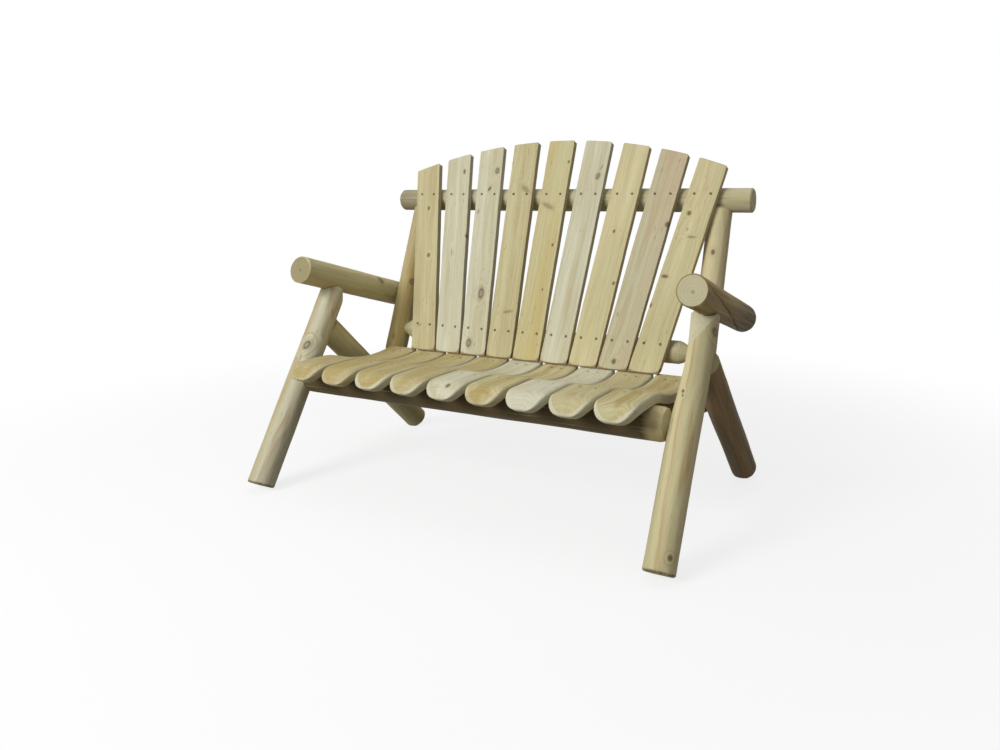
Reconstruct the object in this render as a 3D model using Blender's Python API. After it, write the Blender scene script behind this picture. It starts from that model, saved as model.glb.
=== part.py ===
"""Log loveseat: a rustic two-seat garden bench of peeled cedar logs and boards.

Metres, +Z up, +X to the viewer's right seen from the front, front towards -Y.
The origin lies on the floor under the middle of the bench's outline.
Every board, log and fastener is a closed body of its own. Nothing moves.
"""

import bmesh
import bpy
from math import atan2, ceil, cos, pi, radians, sin, sqrt, tan
from mathutils import Matrix, Vector

# Overall sizes of the bench
OVERALL_WIDTH = 1.270
OVERALL_DEPTH = 0.762
OVERALL_HEIGHT = 0.9906

# Logs: radii, sides of the faceted section, and the chamfer on a sawn end
FRONT_LEG_RADIUS = 0.0381
REAR_LEG_RADIUS = 0.0381
ARM_RADIUS = 0.0406
POST_RADIUS = 0.0356
UPPER_RAIL_RADIUS = 0.0356
LOWER_RAIL_RADIUS = 0.0330
FRONT_RAIL_RADIUS = 0.0420
REAR_RAIL_RADIUS = 0.0343
LOG_SIDES = 20
END_CHAMFER = 0.0035

# Legs: the front pair leans back, the rear pair stands a little further out
FRONT_LEG_LEAN = radians(31.0)
REAR_LEG_JOIN_HEIGHT = 0.4424
REAR_LEG_OFFSET = 0.0089
REAR_LEG_HOUSING = 0.0060
FOOT_TRIM = 0.0030
LEG_TOP_TAPER = 0.0080
LEG_TOP_HORN = 0.0110

# Arms: height of the front end's centre, distance behind the front feet, slope, length
ARM_FRONT_HEIGHT = 0.6044
ARM_FRONT_SETBACK = 0.1916
ARM_SLOPE = radians(15.3)
ARM_LENGTH = 0.4930

# Back: nine fanned boards on two rails between two posts, all leaning alike
BACK_LEAN = radians(20.7)
BACK_BOTTOM_HEIGHT = 0.3335
BACK_SLAT_COUNT = 9
BACK_SLAT_SPACE = 0.0036
BACK_SLAT_THICKNESS = 0.0191
BACK_BOTTOM_PITCH_SHARE = 0.0728
BACK_UPPER_PITCH_SHARE = 0.0936
LOWER_RAIL_UP = 0.0752
LOWER_SCREWS_UP = 0.0848
UPPER_RAIL_UP_SHARE = 0.7466
BACK_TOP_RADIUS_SHARE = 1.236
BACK_CORNER_RADIUS = 0.0060
UPPER_RAIL_SHORT = 0.0260
POST_TAIL_PAST = 0.0142
POST_TAIL_RADIUS = 0.0254
POST_TOP_HORN = 0.0100
POST_TOP_TAPER = 0.0100

# Seat: nine shaped boards over the front rail and the rear rail
SEAT_SLAT_COUNT = 9
SEAT_SLAT_SPACE = 0.0073
SEAT_PITCH_SHARE = 0.0904
SEAT_SLAT_THICKNESS = 0.0241
SEAT_EDGE_ROUND = 0.0060
SEAT_TONGUE_ROUND = 0.0420
FRONT_RAIL_HEIGHT = 0.2915
SEAT_CREST_FLAT = 0.0850
SEAT_NOSE_RADIUS = 0.0318
SEAT_NOSE_TURN = radians(66)
SEAT_NOSE_DROP = 0.0040
SEAT_CREST_RADIUS = 0.1660
SEAT_SLOPE = radians(16.2)
SEAT_SLOPE_LENGTH = 0.0294
SEAT_RISE = radians(8.3)
SEAT_TAIL = 0.0340
SEAT_REAR_CLEARANCE = 0.0020

# Rail ends: a cone down to a shoulder, then a round tenon in a drilled mortise
TENON_RADIUS = 0.0152
TENON_LENGTH = 0.0300
SHOULDER_RADIUS = 0.0185
FRONT_SHOULDER_RADIUS = 0.0340

# Fasteners
SCREW_SIDES = 6
SCREW_HEAD_RADIUS = 0.0040
SCREW_HEAD_DEPTH = 0.0028
SCREW_SHANK_RADIUS = 0.0020
SCREW_TIP = 0.0050
SCREW_SINK = 0.0004
BACK_SCREW_LENGTH = 0.0500
SEAT_SCREW_LENGTH = 0.0560
BACK_SCREW_SPREAD_SHARE = 0.54
SEAT_REAR_SCREW_SPREAD_SHARE = 0.28
SEAT_FRONT_SCREW_SPREAD_SHARE = 0.37
LAG_SHANK_RADIUS = 0.0048
LAG_HEAD_RADIUS = 0.0083
LAG_HEAD_HEIGHT = 0.0064
LAG_POINT = 0.0060
LAG_SIDES = 8
HEX_SIDES = 6
LAG_GRIP = 0.0350
WASHER_RADIUS = 0.0125
WASHER_THICKNESS = 0.0020
WASHER_SIDES = 12
COUNTERBORE_DEPTH = 0.0090
COUNTERBORE_RADIUS = 0.0140
DOWEL_RADIUS = 0.0048
DOWEL_HALF_LENGTH = 0.0350

# Clearances between touching pieces, and how far a cutter runs past what it cuts
GAP = 0.0003
OVERRUN = 0.0200

# Shares and steps of the small curves
ARC_STEP = radians(12)
WIDE_ARC_STEP = radians(6)
CORNER_STEPS = 2
TOP_SEARCH_STEPS = 30
LEAN_SEARCH_STEPS = 30
SMOOTH_ANGLE = radians(35)
HALF_SHARE = 0.5
SIDES = (("left", -1), ("right", 1))

# Sizes that follow the overall height and width
BACK_LENGTH = (OVERALL_HEIGHT - BACK_BOTTOM_HEIGHT) / cos(BACK_LEAN)
UPPER_RAIL_UP = BACK_LENGTH * UPPER_RAIL_UP_SHARE
BACK_BOTTOM_PITCH = OVERALL_WIDTH * BACK_BOTTOM_PITCH_SHARE
BACK_UPPER_PITCH = OVERALL_WIDTH * BACK_UPPER_PITCH_SHARE
BACK_SLAT_WIDTH = BACK_BOTTOM_PITCH - BACK_SLAT_SPACE
BACK_SCREW_SPREAD = BACK_SLAT_WIDTH * BACK_SCREW_SPREAD_SHARE
BACK_TOP_RADIUS = OVERALL_WIDTH * BACK_TOP_RADIUS_SHARE
UPPER_RAIL_LENGTH = OVERALL_WIDTH - UPPER_RAIL_SHORT * 2
SEAT_SLAT_PITCH = OVERALL_WIDTH * SEAT_PITCH_SHARE
SEAT_SLAT_WIDTH = SEAT_SLAT_PITCH - SEAT_SLAT_SPACE
SEAT_REAR_SCREW_SPREAD = SEAT_SLAT_WIDTH * SEAT_REAR_SCREW_SPREAD_SHARE
SEAT_FRONT_SCREW_SPREAD = SEAT_SLAT_WIDTH * SEAT_FRONT_SCREW_SPREAD_SHARE

# Colours read from the photograph's logs and boards, linear values
COLOURS = {
    "leg": (0.46, 0.40, 0.24),
    "arm": (0.42, 0.34, 0.18),
    "post": (0.44, 0.36, 0.20),
    "rail": (0.38, 0.30, 0.17),
    "back_slat": (0.52, 0.44, 0.26),
    "seat_slat": (0.56, 0.46, 0.27),
    "steel": (0.33, 0.30, 0.26),
}
WOOD_ROUGHNESS = 0.75
STEEL_ROUGHNESS = 0.45


def unit(lean):
    """Direction in the side plane that leans back from upright by an angle."""
    return Vector((0, sin(lean), cos(lean)))


FRONT_LEG_UP = unit(FRONT_LEG_LEAN)
BACK_UP = unit(BACK_LEAN)
BACK_INWARD = Vector((0, cos(BACK_LEAN), -sin(BACK_LEAN)))
ARM_BACK = Vector((0, cos(ARM_SLOPE), -sin(ARM_SLOPE)))
ACROSS = Vector((1, 0, 0))


def foot_centre_height(radius, lean):
    """Height of a sawn foot's centre whose lowest rim is trimmed level on the floor."""
    return (radius - END_CHAMFER) * sin(lean) - FOOT_TRIM


def foot_centre(radius, lean, sign):
    """Middle of a sawn foot whose outermost rim reaches the overall depth, front -1 or rear 1."""
    beyond = radius * cos(lean) - END_CHAMFER * sin(lean)
    return Vector((0, sign * (OVERALL_DEPTH * HALF_SHARE - beyond), foot_centre_height(radius, lean)))


def back_origin():
    """Middle of the straight lower edge of the back, on the boards' front faces.

    The upper rail's back, or the tallest board's top if it leans further, reaches the overall depth.
    """
    top_behind = BACK_LENGTH * sin(BACK_LEAN) + BACK_SLAT_THICKNESS * cos(BACK_LEAN)
    rail_in = BACK_SLAT_THICKNESS + GAP + UPPER_RAIL_RADIUS
    rail_behind = UPPER_RAIL_UP * sin(BACK_LEAN) + rail_in * cos(BACK_LEAN) + UPPER_RAIL_RADIUS
    return Vector((0, OVERALL_DEPTH * HALF_SHARE - max(top_behind, rail_behind), BACK_BOTTOM_HEIGHT))


def on_front_leg(height):
    """Point of the front legs' axes at a height, in the middle plane."""
    foot = foot_centre(FRONT_LEG_RADIUS, FRONT_LEG_LEAN, -1)
    return Vector((0, foot.y + (height - foot.z) * tan(FRONT_LEG_LEAN), height))


def seat_walk():
    """The seat boards' underside, from the tip to the rear end: points, headings."""
    crest = on_front_leg(FRONT_RAIL_HEIGHT) + Vector((0, 0, FRONT_RAIL_RADIUS + GAP))
    front = [("run", SEAT_CREST_FLAT, 0), ("arc", SEAT_NOSE_RADIUS, SEAT_NOSE_TURN), ("run", SEAT_NOSE_DROP, 0)]
    ahead = walk(crest, pi, front)
    slope = walk(crest, 0, [("arc", SEAT_CREST_RADIUS, -SEAT_SLOPE), ("run", SEAT_SLOPE_LENGTH, 0)])
    dip_radius = seat_dip_radius(slope[-1][0])
    dip = walk(slope[-1][0], -SEAT_SLOPE, [("arc", dip_radius, SEAT_SLOPE + SEAT_RISE)])
    tail = walk(dip[-1][0], SEAT_RISE, [("arc", dip_radius, SEAT_TAIL / dip_radius)])
    nose = [(point, turned - pi) for point, turned in reversed(ahead)]
    return nose + [(crest, 0)] + slope + dip + tail, dip[-1]


def seat_dip_radius(start):
    """Radius of the seat's dish, so that the boards end just short of the posts and their tails.

    The dish turns from the slope to the rise, so its end moves in proportion to its radius.
    """
    up = Vector((0, -sin(SEAT_RISE), cos(SEAT_RISE)))
    travel = Vector((0, sin(SEAT_SLOPE) + sin(SEAT_RISE), cos(SEAT_SLOPE) - cos(SEAT_RISE)))
    post_face = BACK_SLAT_THICKNESS + GAP - SEAT_REAR_CLEARANCE
    tail_face = post_face + POST_RADIUS - POST_TAIL_RADIUS
    top_room = post_face - (start + up * SEAT_SLAT_THICKNESS - back_origin()).dot(BACK_INWARD)
    low_room = tail_face - (start - back_origin()).dot(BACK_INWARD)
    room = min(top_room, low_room) - SEAT_TAIL * cos(SEAT_RISE + BACK_LEAN)
    return room / travel.dot(BACK_INWARD)


def walk(start, heading, moves):
    """Follow runs and arcs in the side plane; each arc is cut into short chords."""
    point = start.copy()
    stations = []
    for kind, size, turn in moves:
        if kind == "run":
            point = point + Vector((0, cos(heading), sin(heading))) * size
            stations.append((point.copy(), heading))
        else:
            step = ARC_STEP if size < SEAT_CREST_RADIUS else WIDE_ARC_STEP
            count = ceil(abs(turn) / step)
            sign = 1 if turn > 0 else -1
            centre = point + Vector((0, -sin(heading), cos(heading))) * (size * sign)
            for index in range(count):
                angle = heading + turn * (index + 1) / count
                point = centre + Vector((0, sin(angle), -cos(angle))) * (size * sign)
                stations.append((point.copy(), angle))
            heading = heading + turn
    return stations


SEAT_STATIONS, SEAT_REAR_CONTACT = seat_walk()


def rear_rail_centre():
    """The rear rail's axis, one radius below the boards' rising underside."""
    point, heading = SEAT_REAR_CONTACT
    return point + Vector((0, sin(heading), -cos(heading))) * (REAR_RAIL_RADIUS + GAP)


def rear_leg_lean():
    """Lean that takes the rear legs' axes from their feet to the joint on the front legs.

    The foot's place depends a little on the lean, so the two are worked out in turn.
    """
    join = on_front_leg(REAR_LEG_JOIN_HEIGHT)
    lean = FRONT_LEG_LEAN
    for _ in range(LEAN_SEARCH_STEPS):
        foot = foot_centre(REAR_LEG_RADIUS, lean, 1)
        lean = atan2(foot.y - join.y, join.z - foot.z)
    return lean


REAR_LEG_LEAN = rear_leg_lean()
REAR_LEG_UP = unit(-REAR_LEG_LEAN)
REAR_LEG_X = OVERALL_WIDTH * HALF_SHARE - REAR_LEG_RADIUS
FRONT_LEG_X = REAR_LEG_X - REAR_LEG_OFFSET
ARM_X = OVERALL_WIDTH * HALF_SHARE - ARM_RADIUS
POST_X = ARM_X - ARM_RADIUS - GAP - POST_RADIUS
POST_IN = BACK_SLAT_THICKNESS + GAP + UPPER_RAIL_RADIUS


def crossing(start_a, along_a, start_b, along_b):
    """Point where two lines of the side plane cross, taken on the first line."""
    cross = along_a.y * along_b.z - along_a.z * along_b.y
    apart = start_b - start_a
    return start_a + along_a * ((apart.y * along_b.z - apart.z * along_b.y) / cross)


def sine_between(along_a, along_b):
    """Sine of the angle between two directions."""
    return along_a.cross(along_b).length


def back_point(up, inward):
    """Point of the middle plane, measured up the back and in behind the front faces."""
    return back_origin() + BACK_UP * up + BACK_INWARD * inward


def remove_everything():
    for thing in list(bpy.data.objects):
        bpy.data.objects.remove(thing, do_unlink=True)


def material(name, colour, roughness, metallic):
    """A plain Principled surface with the piece's colour."""
    made = bpy.data.materials.new(name)
    made.use_nodes = True
    shader = made.node_tree.nodes["Principled BSDF"]
    shader.inputs["Base Color"].default_value = (*colour, 1)
    shader.inputs["Roughness"].default_value = roughness
    shader.inputs["Metallic"].default_value = metallic
    return made


def wood(kind, name):
    return material(name + "_wood", COLOURS[kind], WOOD_ROUGHNESS, 0)


def steel(name):
    return material(name + "_steel", COLOURS["steel"], STEEL_ROUGHNESS, 1)


def turned_mesh(bm, profile, sides, roll=0, place=None):
    """Add a closed round body: rings of (distance along +Z, radius), flat or pointed ends."""
    place = place or Matrix.Identity(4)
    rings = []
    for along, radius in profile:
        if radius > 0:
            turn = [roll + 2 * pi * index / sides for index in range(sides)]
            ring = [place @ Vector((radius * cos(a), radius * sin(a), along)) for a in turn]
        else:
            ring = [place @ Vector((0, 0, along))]
        rings.append([bm.verts.new(point) for point in ring])
    if len(rings[0]) > 1:
        bm.faces.new(reversed(rings[0]))
    if len(rings[-1]) > 1:
        bm.faces.new(rings[-1])
    for low, high in zip(rings, rings[1:]):
        for index in range(sides):
            after = (index + 1) % sides
            if len(low) == 1:
                bm.faces.new((low[0], high[after], high[index]))
            elif len(high) == 1:
                bm.faces.new((low[index], low[after], high[0]))
            else:
                bm.faces.new((low[index], low[after], high[after], high[index]))


def finish_object(name, bm, surface, smooth=True):
    """Turn the working mesh into a named object with its own material."""
    mesh = bpy.data.meshes.new(name)
    bm.to_mesh(mesh)
    bm.free()
    made = bpy.data.objects.new(name, mesh)
    bpy.context.scene.collection.objects.link(made)
    if surface:
        mesh.materials.append(surface)
    if smooth:
        mesh.shade_smooth()
        mesh.set_sharp_from_angle(angle=SMOOTH_ANGLE)
    return made


def aim(direction):
    """Rotation that lays +Z along a direction in the side plane, or along the bench's own width."""
    direction = direction.normalized()
    side = Vector((0, 1, 0)) if abs(direction.dot(ACROSS)) > HALF_SHARE else ACROSS
    ahead = direction.cross(side).normalized()
    side = ahead.cross(direction)
    return Matrix((side, ahead, direction)).transposed()


def frame_at(point, direction):
    return Matrix.Translation(point) @ aim(direction).to_4x4()


def round_piece(name, point, direction, profile, sides, surface, roll=0):
    """A turned object placed by its location and rotation."""
    bm = bmesh.new()
    turned_mesh(bm, profile, sides, roll)
    made = finish_object(name, bm, surface)
    made.location = point
    made.rotation_euler = aim(direction).to_euler()
    return made


def cutter(name, bodies, sides, roll=0):
    """Closed bodies in one hidden object; each is (point, direction, profile)."""
    bm = bmesh.new()
    for point, direction, profile in bodies:
        turned_mesh(bm, profile, sides, roll, frame_at(point, direction))
    made = finish_object(name, bm, None, smooth=False)
    made.hide_render = True
    made.display_type = "WIRE"
    return made


def cut(piece, tool):
    """Subtract a hidden cutter from a piece."""
    change = piece.modifiers.new("cut_" + tool.name, "BOOLEAN")
    change.operation = "DIFFERENCE"
    change.solver = "EXACT"
    change.object = tool


def sawn_log(length, radius, start_chamfer=END_CHAMFER, end_chamfer=END_CHAMFER):
    """Profile of a log with a chamfer round both sawn ends."""
    return [(0, radius - start_chamfer), (start_chamfer, radius),
            (length - end_chamfer, radius), (length, radius - end_chamfer)]


def plain_rod(start, stop, radius):
    return [(start, radius), (stop, radius)]


def side_point(point, x):
    """The same point of the side plane, moved out to a given X."""
    return Vector((x, point.y, point.z))


def roll_towards(axis_direction, target):
    """Angle that turns a ridge of a faceted log towards a direction."""
    local = aim(axis_direction).transposed() @ target
    return atan2(local.y, local.x)


ARM_FRONT = Vector((0, on_front_leg(0).y + ARM_FRONT_SETBACK, ARM_FRONT_HEIGHT))
LEG_ARM_CROSSING = crossing(on_front_leg(0), FRONT_LEG_UP, ARM_FRONT, ARM_BACK)
ARM_SEAT = LEG_ARM_CROSSING - FRONT_LEG_UP * (ARM_RADIUS / sine_between(FRONT_LEG_UP, ARM_BACK))
REAR_FOOT = foot_centre(REAR_LEG_RADIUS, REAR_LEG_LEAN, 1)
REAR_LEG_CROSSING = on_front_leg(REAR_LEG_JOIN_HEIGHT)
LEG_SINE = sine_between(FRONT_LEG_UP, REAR_LEG_UP)
REAR_LEG_TOP = REAR_LEG_CROSSING - REAR_LEG_UP * ((FRONT_LEG_RADIUS - REAR_LEG_HOUSING) / LEG_SINE)
POST_AXIS = back_point(0, POST_IN)
POST_ARM_CROSSING = crossing(POST_AXIS, BACK_UP, ARM_FRONT, ARM_BACK)
UPPER_RAIL = back_point(UPPER_RAIL_UP, BACK_SLAT_THICKNESS + GAP + UPPER_RAIL_RADIUS)
LOWER_RAIL = back_point(LOWER_RAIL_UP, BACK_SLAT_THICKNESS + GAP + LOWER_RAIL_RADIUS)
POST_SEAT = back_point(UPPER_RAIL_UP - UPPER_RAIL_RADIUS, POST_IN)
REAR_RAIL_UP = (rear_rail_centre() - back_origin()).dot(BACK_UP)
POST_TAIL = POST_TAIL_PAST - REAR_RAIL_UP


def floor_block(name, foot, log_length):
    """A block below the floor that trims a foot level, as wide as the leg is long."""
    bm = bmesh.new()
    size = log_length
    bmesh.ops.create_cube(bm, size=size)
    made = finish_object(name, bm, None, smooth=False)
    made.location = Vector((foot.x, foot.y, -size * HALF_SHARE))
    made.hide_render = True
    made.display_type = "WIRE"
    return made


def front_leg(side, sign):
    """A front leg: sawn foot, housing for the rear leg, mortise for the rail, coped top."""
    name = f"front_leg_{side}"
    foot = side_point(foot_centre(FRONT_LEG_RADIUS, FRONT_LEG_LEAN, -1), sign * FRONT_LEG_X)
    top = side_point(ARM_SEAT + FRONT_LEG_UP * LEG_TOP_HORN, foot.x)
    profile = sawn_log((top - foot).length, FRONT_LEG_RADIUS, END_CHAMFER, LEG_TOP_TAPER)
    leg = round_piece(name, foot, FRONT_LEG_UP, profile, LOG_SIDES, wood("leg", name))
    cut(leg, floor_block(f"floor_under_front_{side}", foot, (top - foot).length))
    cope = plain_rod(-OVERRUN, ARM_LENGTH, ARM_RADIUS + GAP)
    cut(leg, cutter(f"arm_bed_{side}", [(side_point(ARM_FRONT, sign * ARM_X), ARM_BACK, cope)], LOG_SIDES))
    housing = plain_rod(-GAP, REAR_LEG_RADIUS * 2, REAR_LEG_RADIUS + GAP)
    rear_top = side_point(REAR_LEG_TOP, sign * REAR_LEG_X)
    cut(leg, cutter(f"rear_leg_bed_{side}", [(rear_top, -REAR_LEG_UP, housing)], LOG_SIDES))
    rail = on_front_leg(FRONT_RAIL_HEIGHT)
    cut(leg, mortise(f"front_rail_mortise_{side}", rail, sign, FRONT_LEG_X, FRONT_LEG_RADIUS))
    return leg


def rear_leg(side, sign):
    """A rear leg: sawn foot, square upper end let into the back of the front leg."""
    name = f"rear_leg_{side}"
    foot = side_point(REAR_FOOT, sign * REAR_LEG_X)
    length = (REAR_LEG_TOP - REAR_FOOT).length
    profile = [(0, REAR_LEG_RADIUS - END_CHAMFER), (END_CHAMFER, REAR_LEG_RADIUS), (length, REAR_LEG_RADIUS)]
    leg = round_piece(name, foot, REAR_LEG_UP, profile, LOG_SIDES, wood("leg", name))
    cut(leg, floor_block(f"floor_under_rear_{side}", foot, length))
    cut(leg, mortise(f"rear_rail_mortise_{side}", rear_rail_centre(), sign, REAR_LEG_X, REAR_LEG_RADIUS))
    return leg


def mortise(name, centre, sign, log_x, log_radius):
    """A drilled round hole from the inner side of a log, for a rail's tenon."""
    start = side_point(centre, sign * (log_x - log_radius))
    profile = plain_rod(-OVERRUN, TENON_LENGTH + GAP, TENON_RADIUS + GAP)
    return cutter(name, [(start, ACROSS * sign, profile)], LOG_SIDES)


def arm(side, sign):
    """An arm log: rests on the front leg's coped top and passes outside the back post."""
    return round_piece(f"arm_{side}", side_point(ARM_FRONT, sign * ARM_X), ARM_BACK,
                       sawn_log(ARM_LENGTH, ARM_RADIUS), LOG_SIDES, wood("arm", f"arm_{side}"))


def back_post(side, sign):
    """A back post: coped under the upper rail, with a slimmer tail lapped behind the rear seat rail."""
    name = f"back_post_{side}"
    tail = side_point(back_point(-POST_TAIL, POST_IN), sign * POST_X)
    length = POST_TAIL + UPPER_RAIL_UP - UPPER_RAIL_RADIUS + POST_TOP_HORN
    shoulder = POST_TAIL - (POST_RADIUS - POST_TAIL_RADIUS)
    profile = [(0, POST_TAIL_RADIUS - END_CHAMFER), (END_CHAMFER, POST_TAIL_RADIUS), (shoulder, POST_TAIL_RADIUS),
               (POST_TAIL, POST_RADIUS), (length - POST_TOP_TAPER, POST_RADIUS),
               (length, POST_RADIUS - POST_TOP_TAPER)]
    post = round_piece(name, tail, BACK_UP, profile, LOG_SIDES, wood("post", name))
    half = POST_X + POST_RADIUS + OVERRUN
    upper = [(UPPER_RAIL, ACROSS, plain_rod(-half, half, UPPER_RAIL_RADIUS + GAP))]
    cut(post, cutter(f"upper_rail_bed_{side}", upper, LOG_SIDES, roll_towards(ACROSS, -BACK_INWARD)))
    rear = [(rear_rail_centre(), ACROSS, plain_rod(-half, half, REAR_RAIL_RADIUS + GAP))]
    cut(post, cutter(f"rear_rail_bed_{side}", rear, LOG_SIDES, roll_towards(ACROSS, seat_up())))
    cut(post, mortise(f"lower_rail_mortise_{side}", LOWER_RAIL, sign, POST_X, POST_RADIUS))
    return post


def seat_up():
    """Square to the seat boards where they cross the rear rail."""
    heading = SEAT_REAR_CONTACT[1]
    return Vector((0, -sin(heading), cos(heading)))


def tenoned_rail(name, centre, radius, shoulder_radius, log_x, log_radius, ridge):
    """A rail between two logs, coned at both ends down to round tenons."""
    shoulder = log_x - log_radius - GAP
    taper = radius - shoulder_radius
    half = [(shoulder + TENON_LENGTH, TENON_RADIUS), (shoulder, TENON_RADIUS), (shoulder, shoulder_radius),
            (shoulder - taper, radius)]
    profile = [(-along, size) for along, size in half] + list(reversed(half))
    return round_piece(name, centre, ACROSS, profile, LOG_SIDES, wood("rail", name), roll_towards(ACROSS, ridge))


def upper_back_rail():
    """The upper rail: a plain log laid on the post tops, past them at both ends."""
    half = UPPER_RAIL_LENGTH * HALF_SHARE
    start = side_point(UPPER_RAIL, -half)
    return round_piece("upper_back_rail", start, ACROSS, sawn_log(UPPER_RAIL_LENGTH, UPPER_RAIL_RADIUS), LOG_SIDES,
                       wood("rail", "upper_back_rail"), roll_towards(ACROSS, -BACK_INWARD))


def slat_line(index, up):
    """Middle of a fanned back board at a distance up the back."""
    place = index - (BACK_SLAT_COUNT - 1) * HALF_SHARE
    pitch = BACK_BOTTOM_PITCH + (BACK_UPPER_PITCH - BACK_BOTTOM_PITCH) * up / UPPER_RAIL_UP
    return place * pitch


def slat_tilt(index):
    """Tilt of a fanned back board in the plane of the back."""
    return atan2(slat_line(index, UPPER_RAIL_UP) - slat_line(index, 0), UPPER_RAIL_UP)


def top_arc_height(x):
    """Distance up the back of the arc on which the boards' tops end."""
    return BACK_LENGTH - BACK_TOP_RADIUS + sqrt(BACK_TOP_RADIUS ** 2 - x ** 2)


def edge_top(index, side):
    """Where a board's long edge meets the top arc, found by stepping to it."""
    half = BACK_SLAT_WIDTH * HALF_SHARE / cos(slat_tilt(index))
    up = UPPER_RAIL_UP
    for _ in range(TOP_SEARCH_STEPS):
        up = top_arc_height(slat_line(index, up) + side * half)
    return Vector((slat_line(index, up) + side * half, up, 0))


def rounded_corner(before, corner, after):
    """Points that round a corner of an outline by the corner radius."""
    start = corner + (before - corner).normalized() * BACK_CORNER_RADIUS
    stop = corner + (after - corner).normalized() * BACK_CORNER_RADIUS
    points = []
    for step in range(CORNER_STEPS + 1):
        share = step / CORNER_STEPS
        points.append(start.lerp(corner, share).lerp(corner.lerp(stop, share), share))
    return points


def back_slat_outline(index, low):
    """Outline of a back board's front or rear face from a height up, anticlockwise from bottom left."""
    half = BACK_SLAT_WIDTH * HALF_SHARE / cos(slat_tilt(index))
    low_left = Vector((slat_line(index, low) - half, low, 0))
    low_right = Vector((slat_line(index, low) + half, low, 0))
    high_left, high_right = edge_top(index, -1), edge_top(index, 1)
    middle_x = (high_left.x + high_right.x) * HALF_SHARE
    middle = Vector((middle_x, top_arc_height(middle_x), 0))
    return ([low_left, low_right] + rounded_corner(low_right, high_right, middle) + [middle]
            + rounded_corner(middle, high_left, low_left))


def back_slat(index):
    """A fanned flat back board, its lower end bevelled to lie along the seat boards' rear ends."""
    name = f"back_slat_{index + 1}"
    bm = bmesh.new()
    bevel = BACK_SLAT_THICKNESS * tan(BACK_LEAN + SEAT_STATIONS[-1][1])
    front = [bm.verts.new((point.x, 0, point.y)) for point in back_slat_outline(index, 0)]
    rear = [bm.verts.new((point.x, BACK_SLAT_THICKNESS, point.y)) for point in back_slat_outline(index, bevel)]
    bm.faces.new(front)
    bm.faces.new(reversed(rear))
    count = len(front)
    for step in range(count):
        after = (step + 1) % count
        bm.faces.new((front[step], rear[step], rear[after], front[after]))
    slat = finish_object(name, bm, wood("back_slat", name), smooth=False)
    slat.location = back_origin()
    slat.rotation_euler = (-BACK_LEAN, 0, 0)
    return slat


def tongue_half_width(from_tip):
    """Half width of a seat board at a distance from its tip, with rounded tongue corners."""
    half = SEAT_SLAT_WIDTH * HALF_SHARE
    if from_tip >= SEAT_TONGUE_ROUND:
        return half
    inside = SEAT_TONGUE_ROUND - from_tip
    return half - SEAT_TONGUE_ROUND + sqrt(SEAT_TONGUE_ROUND ** 2 - inside ** 2)


def seat_rows():
    """Stations of the seat board with each one's distance from the tip, along the top face."""
    rows = []
    travelled = 0
    before = None
    for point, heading in SEAT_STATIONS:
        top = point + Vector((0, -sin(heading), cos(heading))) * SEAT_SLAT_THICKNESS
        if before is not None:
            travelled += (top - before).length
        rows.append((point, heading, travelled))
        before = top
    return rows


def seat_slat(index):
    """A shaped seat board: one section carried along the walk, narrowed at the tongue."""
    name = f"seat_slat_{index + 1}"
    bm = bmesh.new()
    sections = []
    for point, heading, travelled in seat_rows():
        half = tongue_half_width(travelled)
        up = Vector((0, -sin(heading), cos(heading)))
        outline = ((-half, 0), (half, 0), (half, SEAT_SLAT_THICKNESS - SEAT_EDGE_ROUND),
                   (half - SEAT_EDGE_ROUND, SEAT_SLAT_THICKNESS), (SEAT_EDGE_ROUND - half, SEAT_SLAT_THICKNESS),
                   (-half, SEAT_SLAT_THICKNESS - SEAT_EDGE_ROUND))
        sections.append([bm.verts.new(point + ACROSS * x + up * z) for x, z in outline])
    bm.faces.new(sections[0])
    bm.faces.new(reversed(sections[-1]))
    for low, high in zip(sections, sections[1:]):
        for step in range(len(low)):
            after = (step + 1) % len(low)
            bm.faces.new((low[step], high[step], high[after], low[after]))
    slat = finish_object(name, bm, wood("seat_slat", name))
    slat.location = ACROSS * ((index - (SEAT_SLAT_COUNT - 1) * HALF_SHARE) * SEAT_SLAT_PITCH)
    return slat


def screw_profile(length, spare=0):
    """A countersunk wood screw pointing along +Z, or its hole when it has a spare."""
    head = SCREW_HEAD_RADIUS + spare
    shank = SCREW_SHANK_RADIUS + spare
    profile = [(0, head), (SCREW_HEAD_DEPTH + spare, shank), (length - SCREW_TIP, shank), (length + spare, 0)]
    if spare:
        profile.insert(0, (-SCREW_SINK - SCREW_HEAD_DEPTH, head))
    return profile


def back_screw_places(up):
    """Heads and directions of the two screws in each back board, level along a rail."""
    places = []
    for index in range(BACK_SLAT_COUNT):
        middle = side_point(back_point(up, SCREW_SINK), slat_line(index, up))
        for sign in (-1, 1):
            places.append((middle + ACROSS * (sign * BACK_SCREW_SPREAD * HALF_SHARE), BACK_INWARD))
    return places


def seat_screw_places(contact, heading, spread):
    """Heads and directions of the two screws in each seat board over a rail."""
    down = Vector((0, sin(heading), -cos(heading)))
    surface = contact - down * (SEAT_SLAT_THICKNESS - SCREW_SINK)
    places = []
    for index in range(SEAT_SLAT_COUNT):
        x = (index - (SEAT_SLAT_COUNT - 1) * HALF_SHARE) * SEAT_SLAT_PITCH
        for sign in (-1, 1):
            places.append((side_point(surface, x + sign * spread * HALF_SHARE), down))
    return places


def end_board_screws(family, rail, places, length):
    """The screws of the first and the last board at a rail, each a piece of its own."""
    for order, (point, direction) in enumerate(places):
        board, side = divmod(order, len(SIDES))
        if board in (0, BACK_SLAT_COUNT - 1):
            name = f"{family}_{board + 1}_{rail}_screw_{SIDES[side][0]}"
            round_piece(name, point, direction, screw_profile(length), SCREW_SIDES, steel(name))


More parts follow.
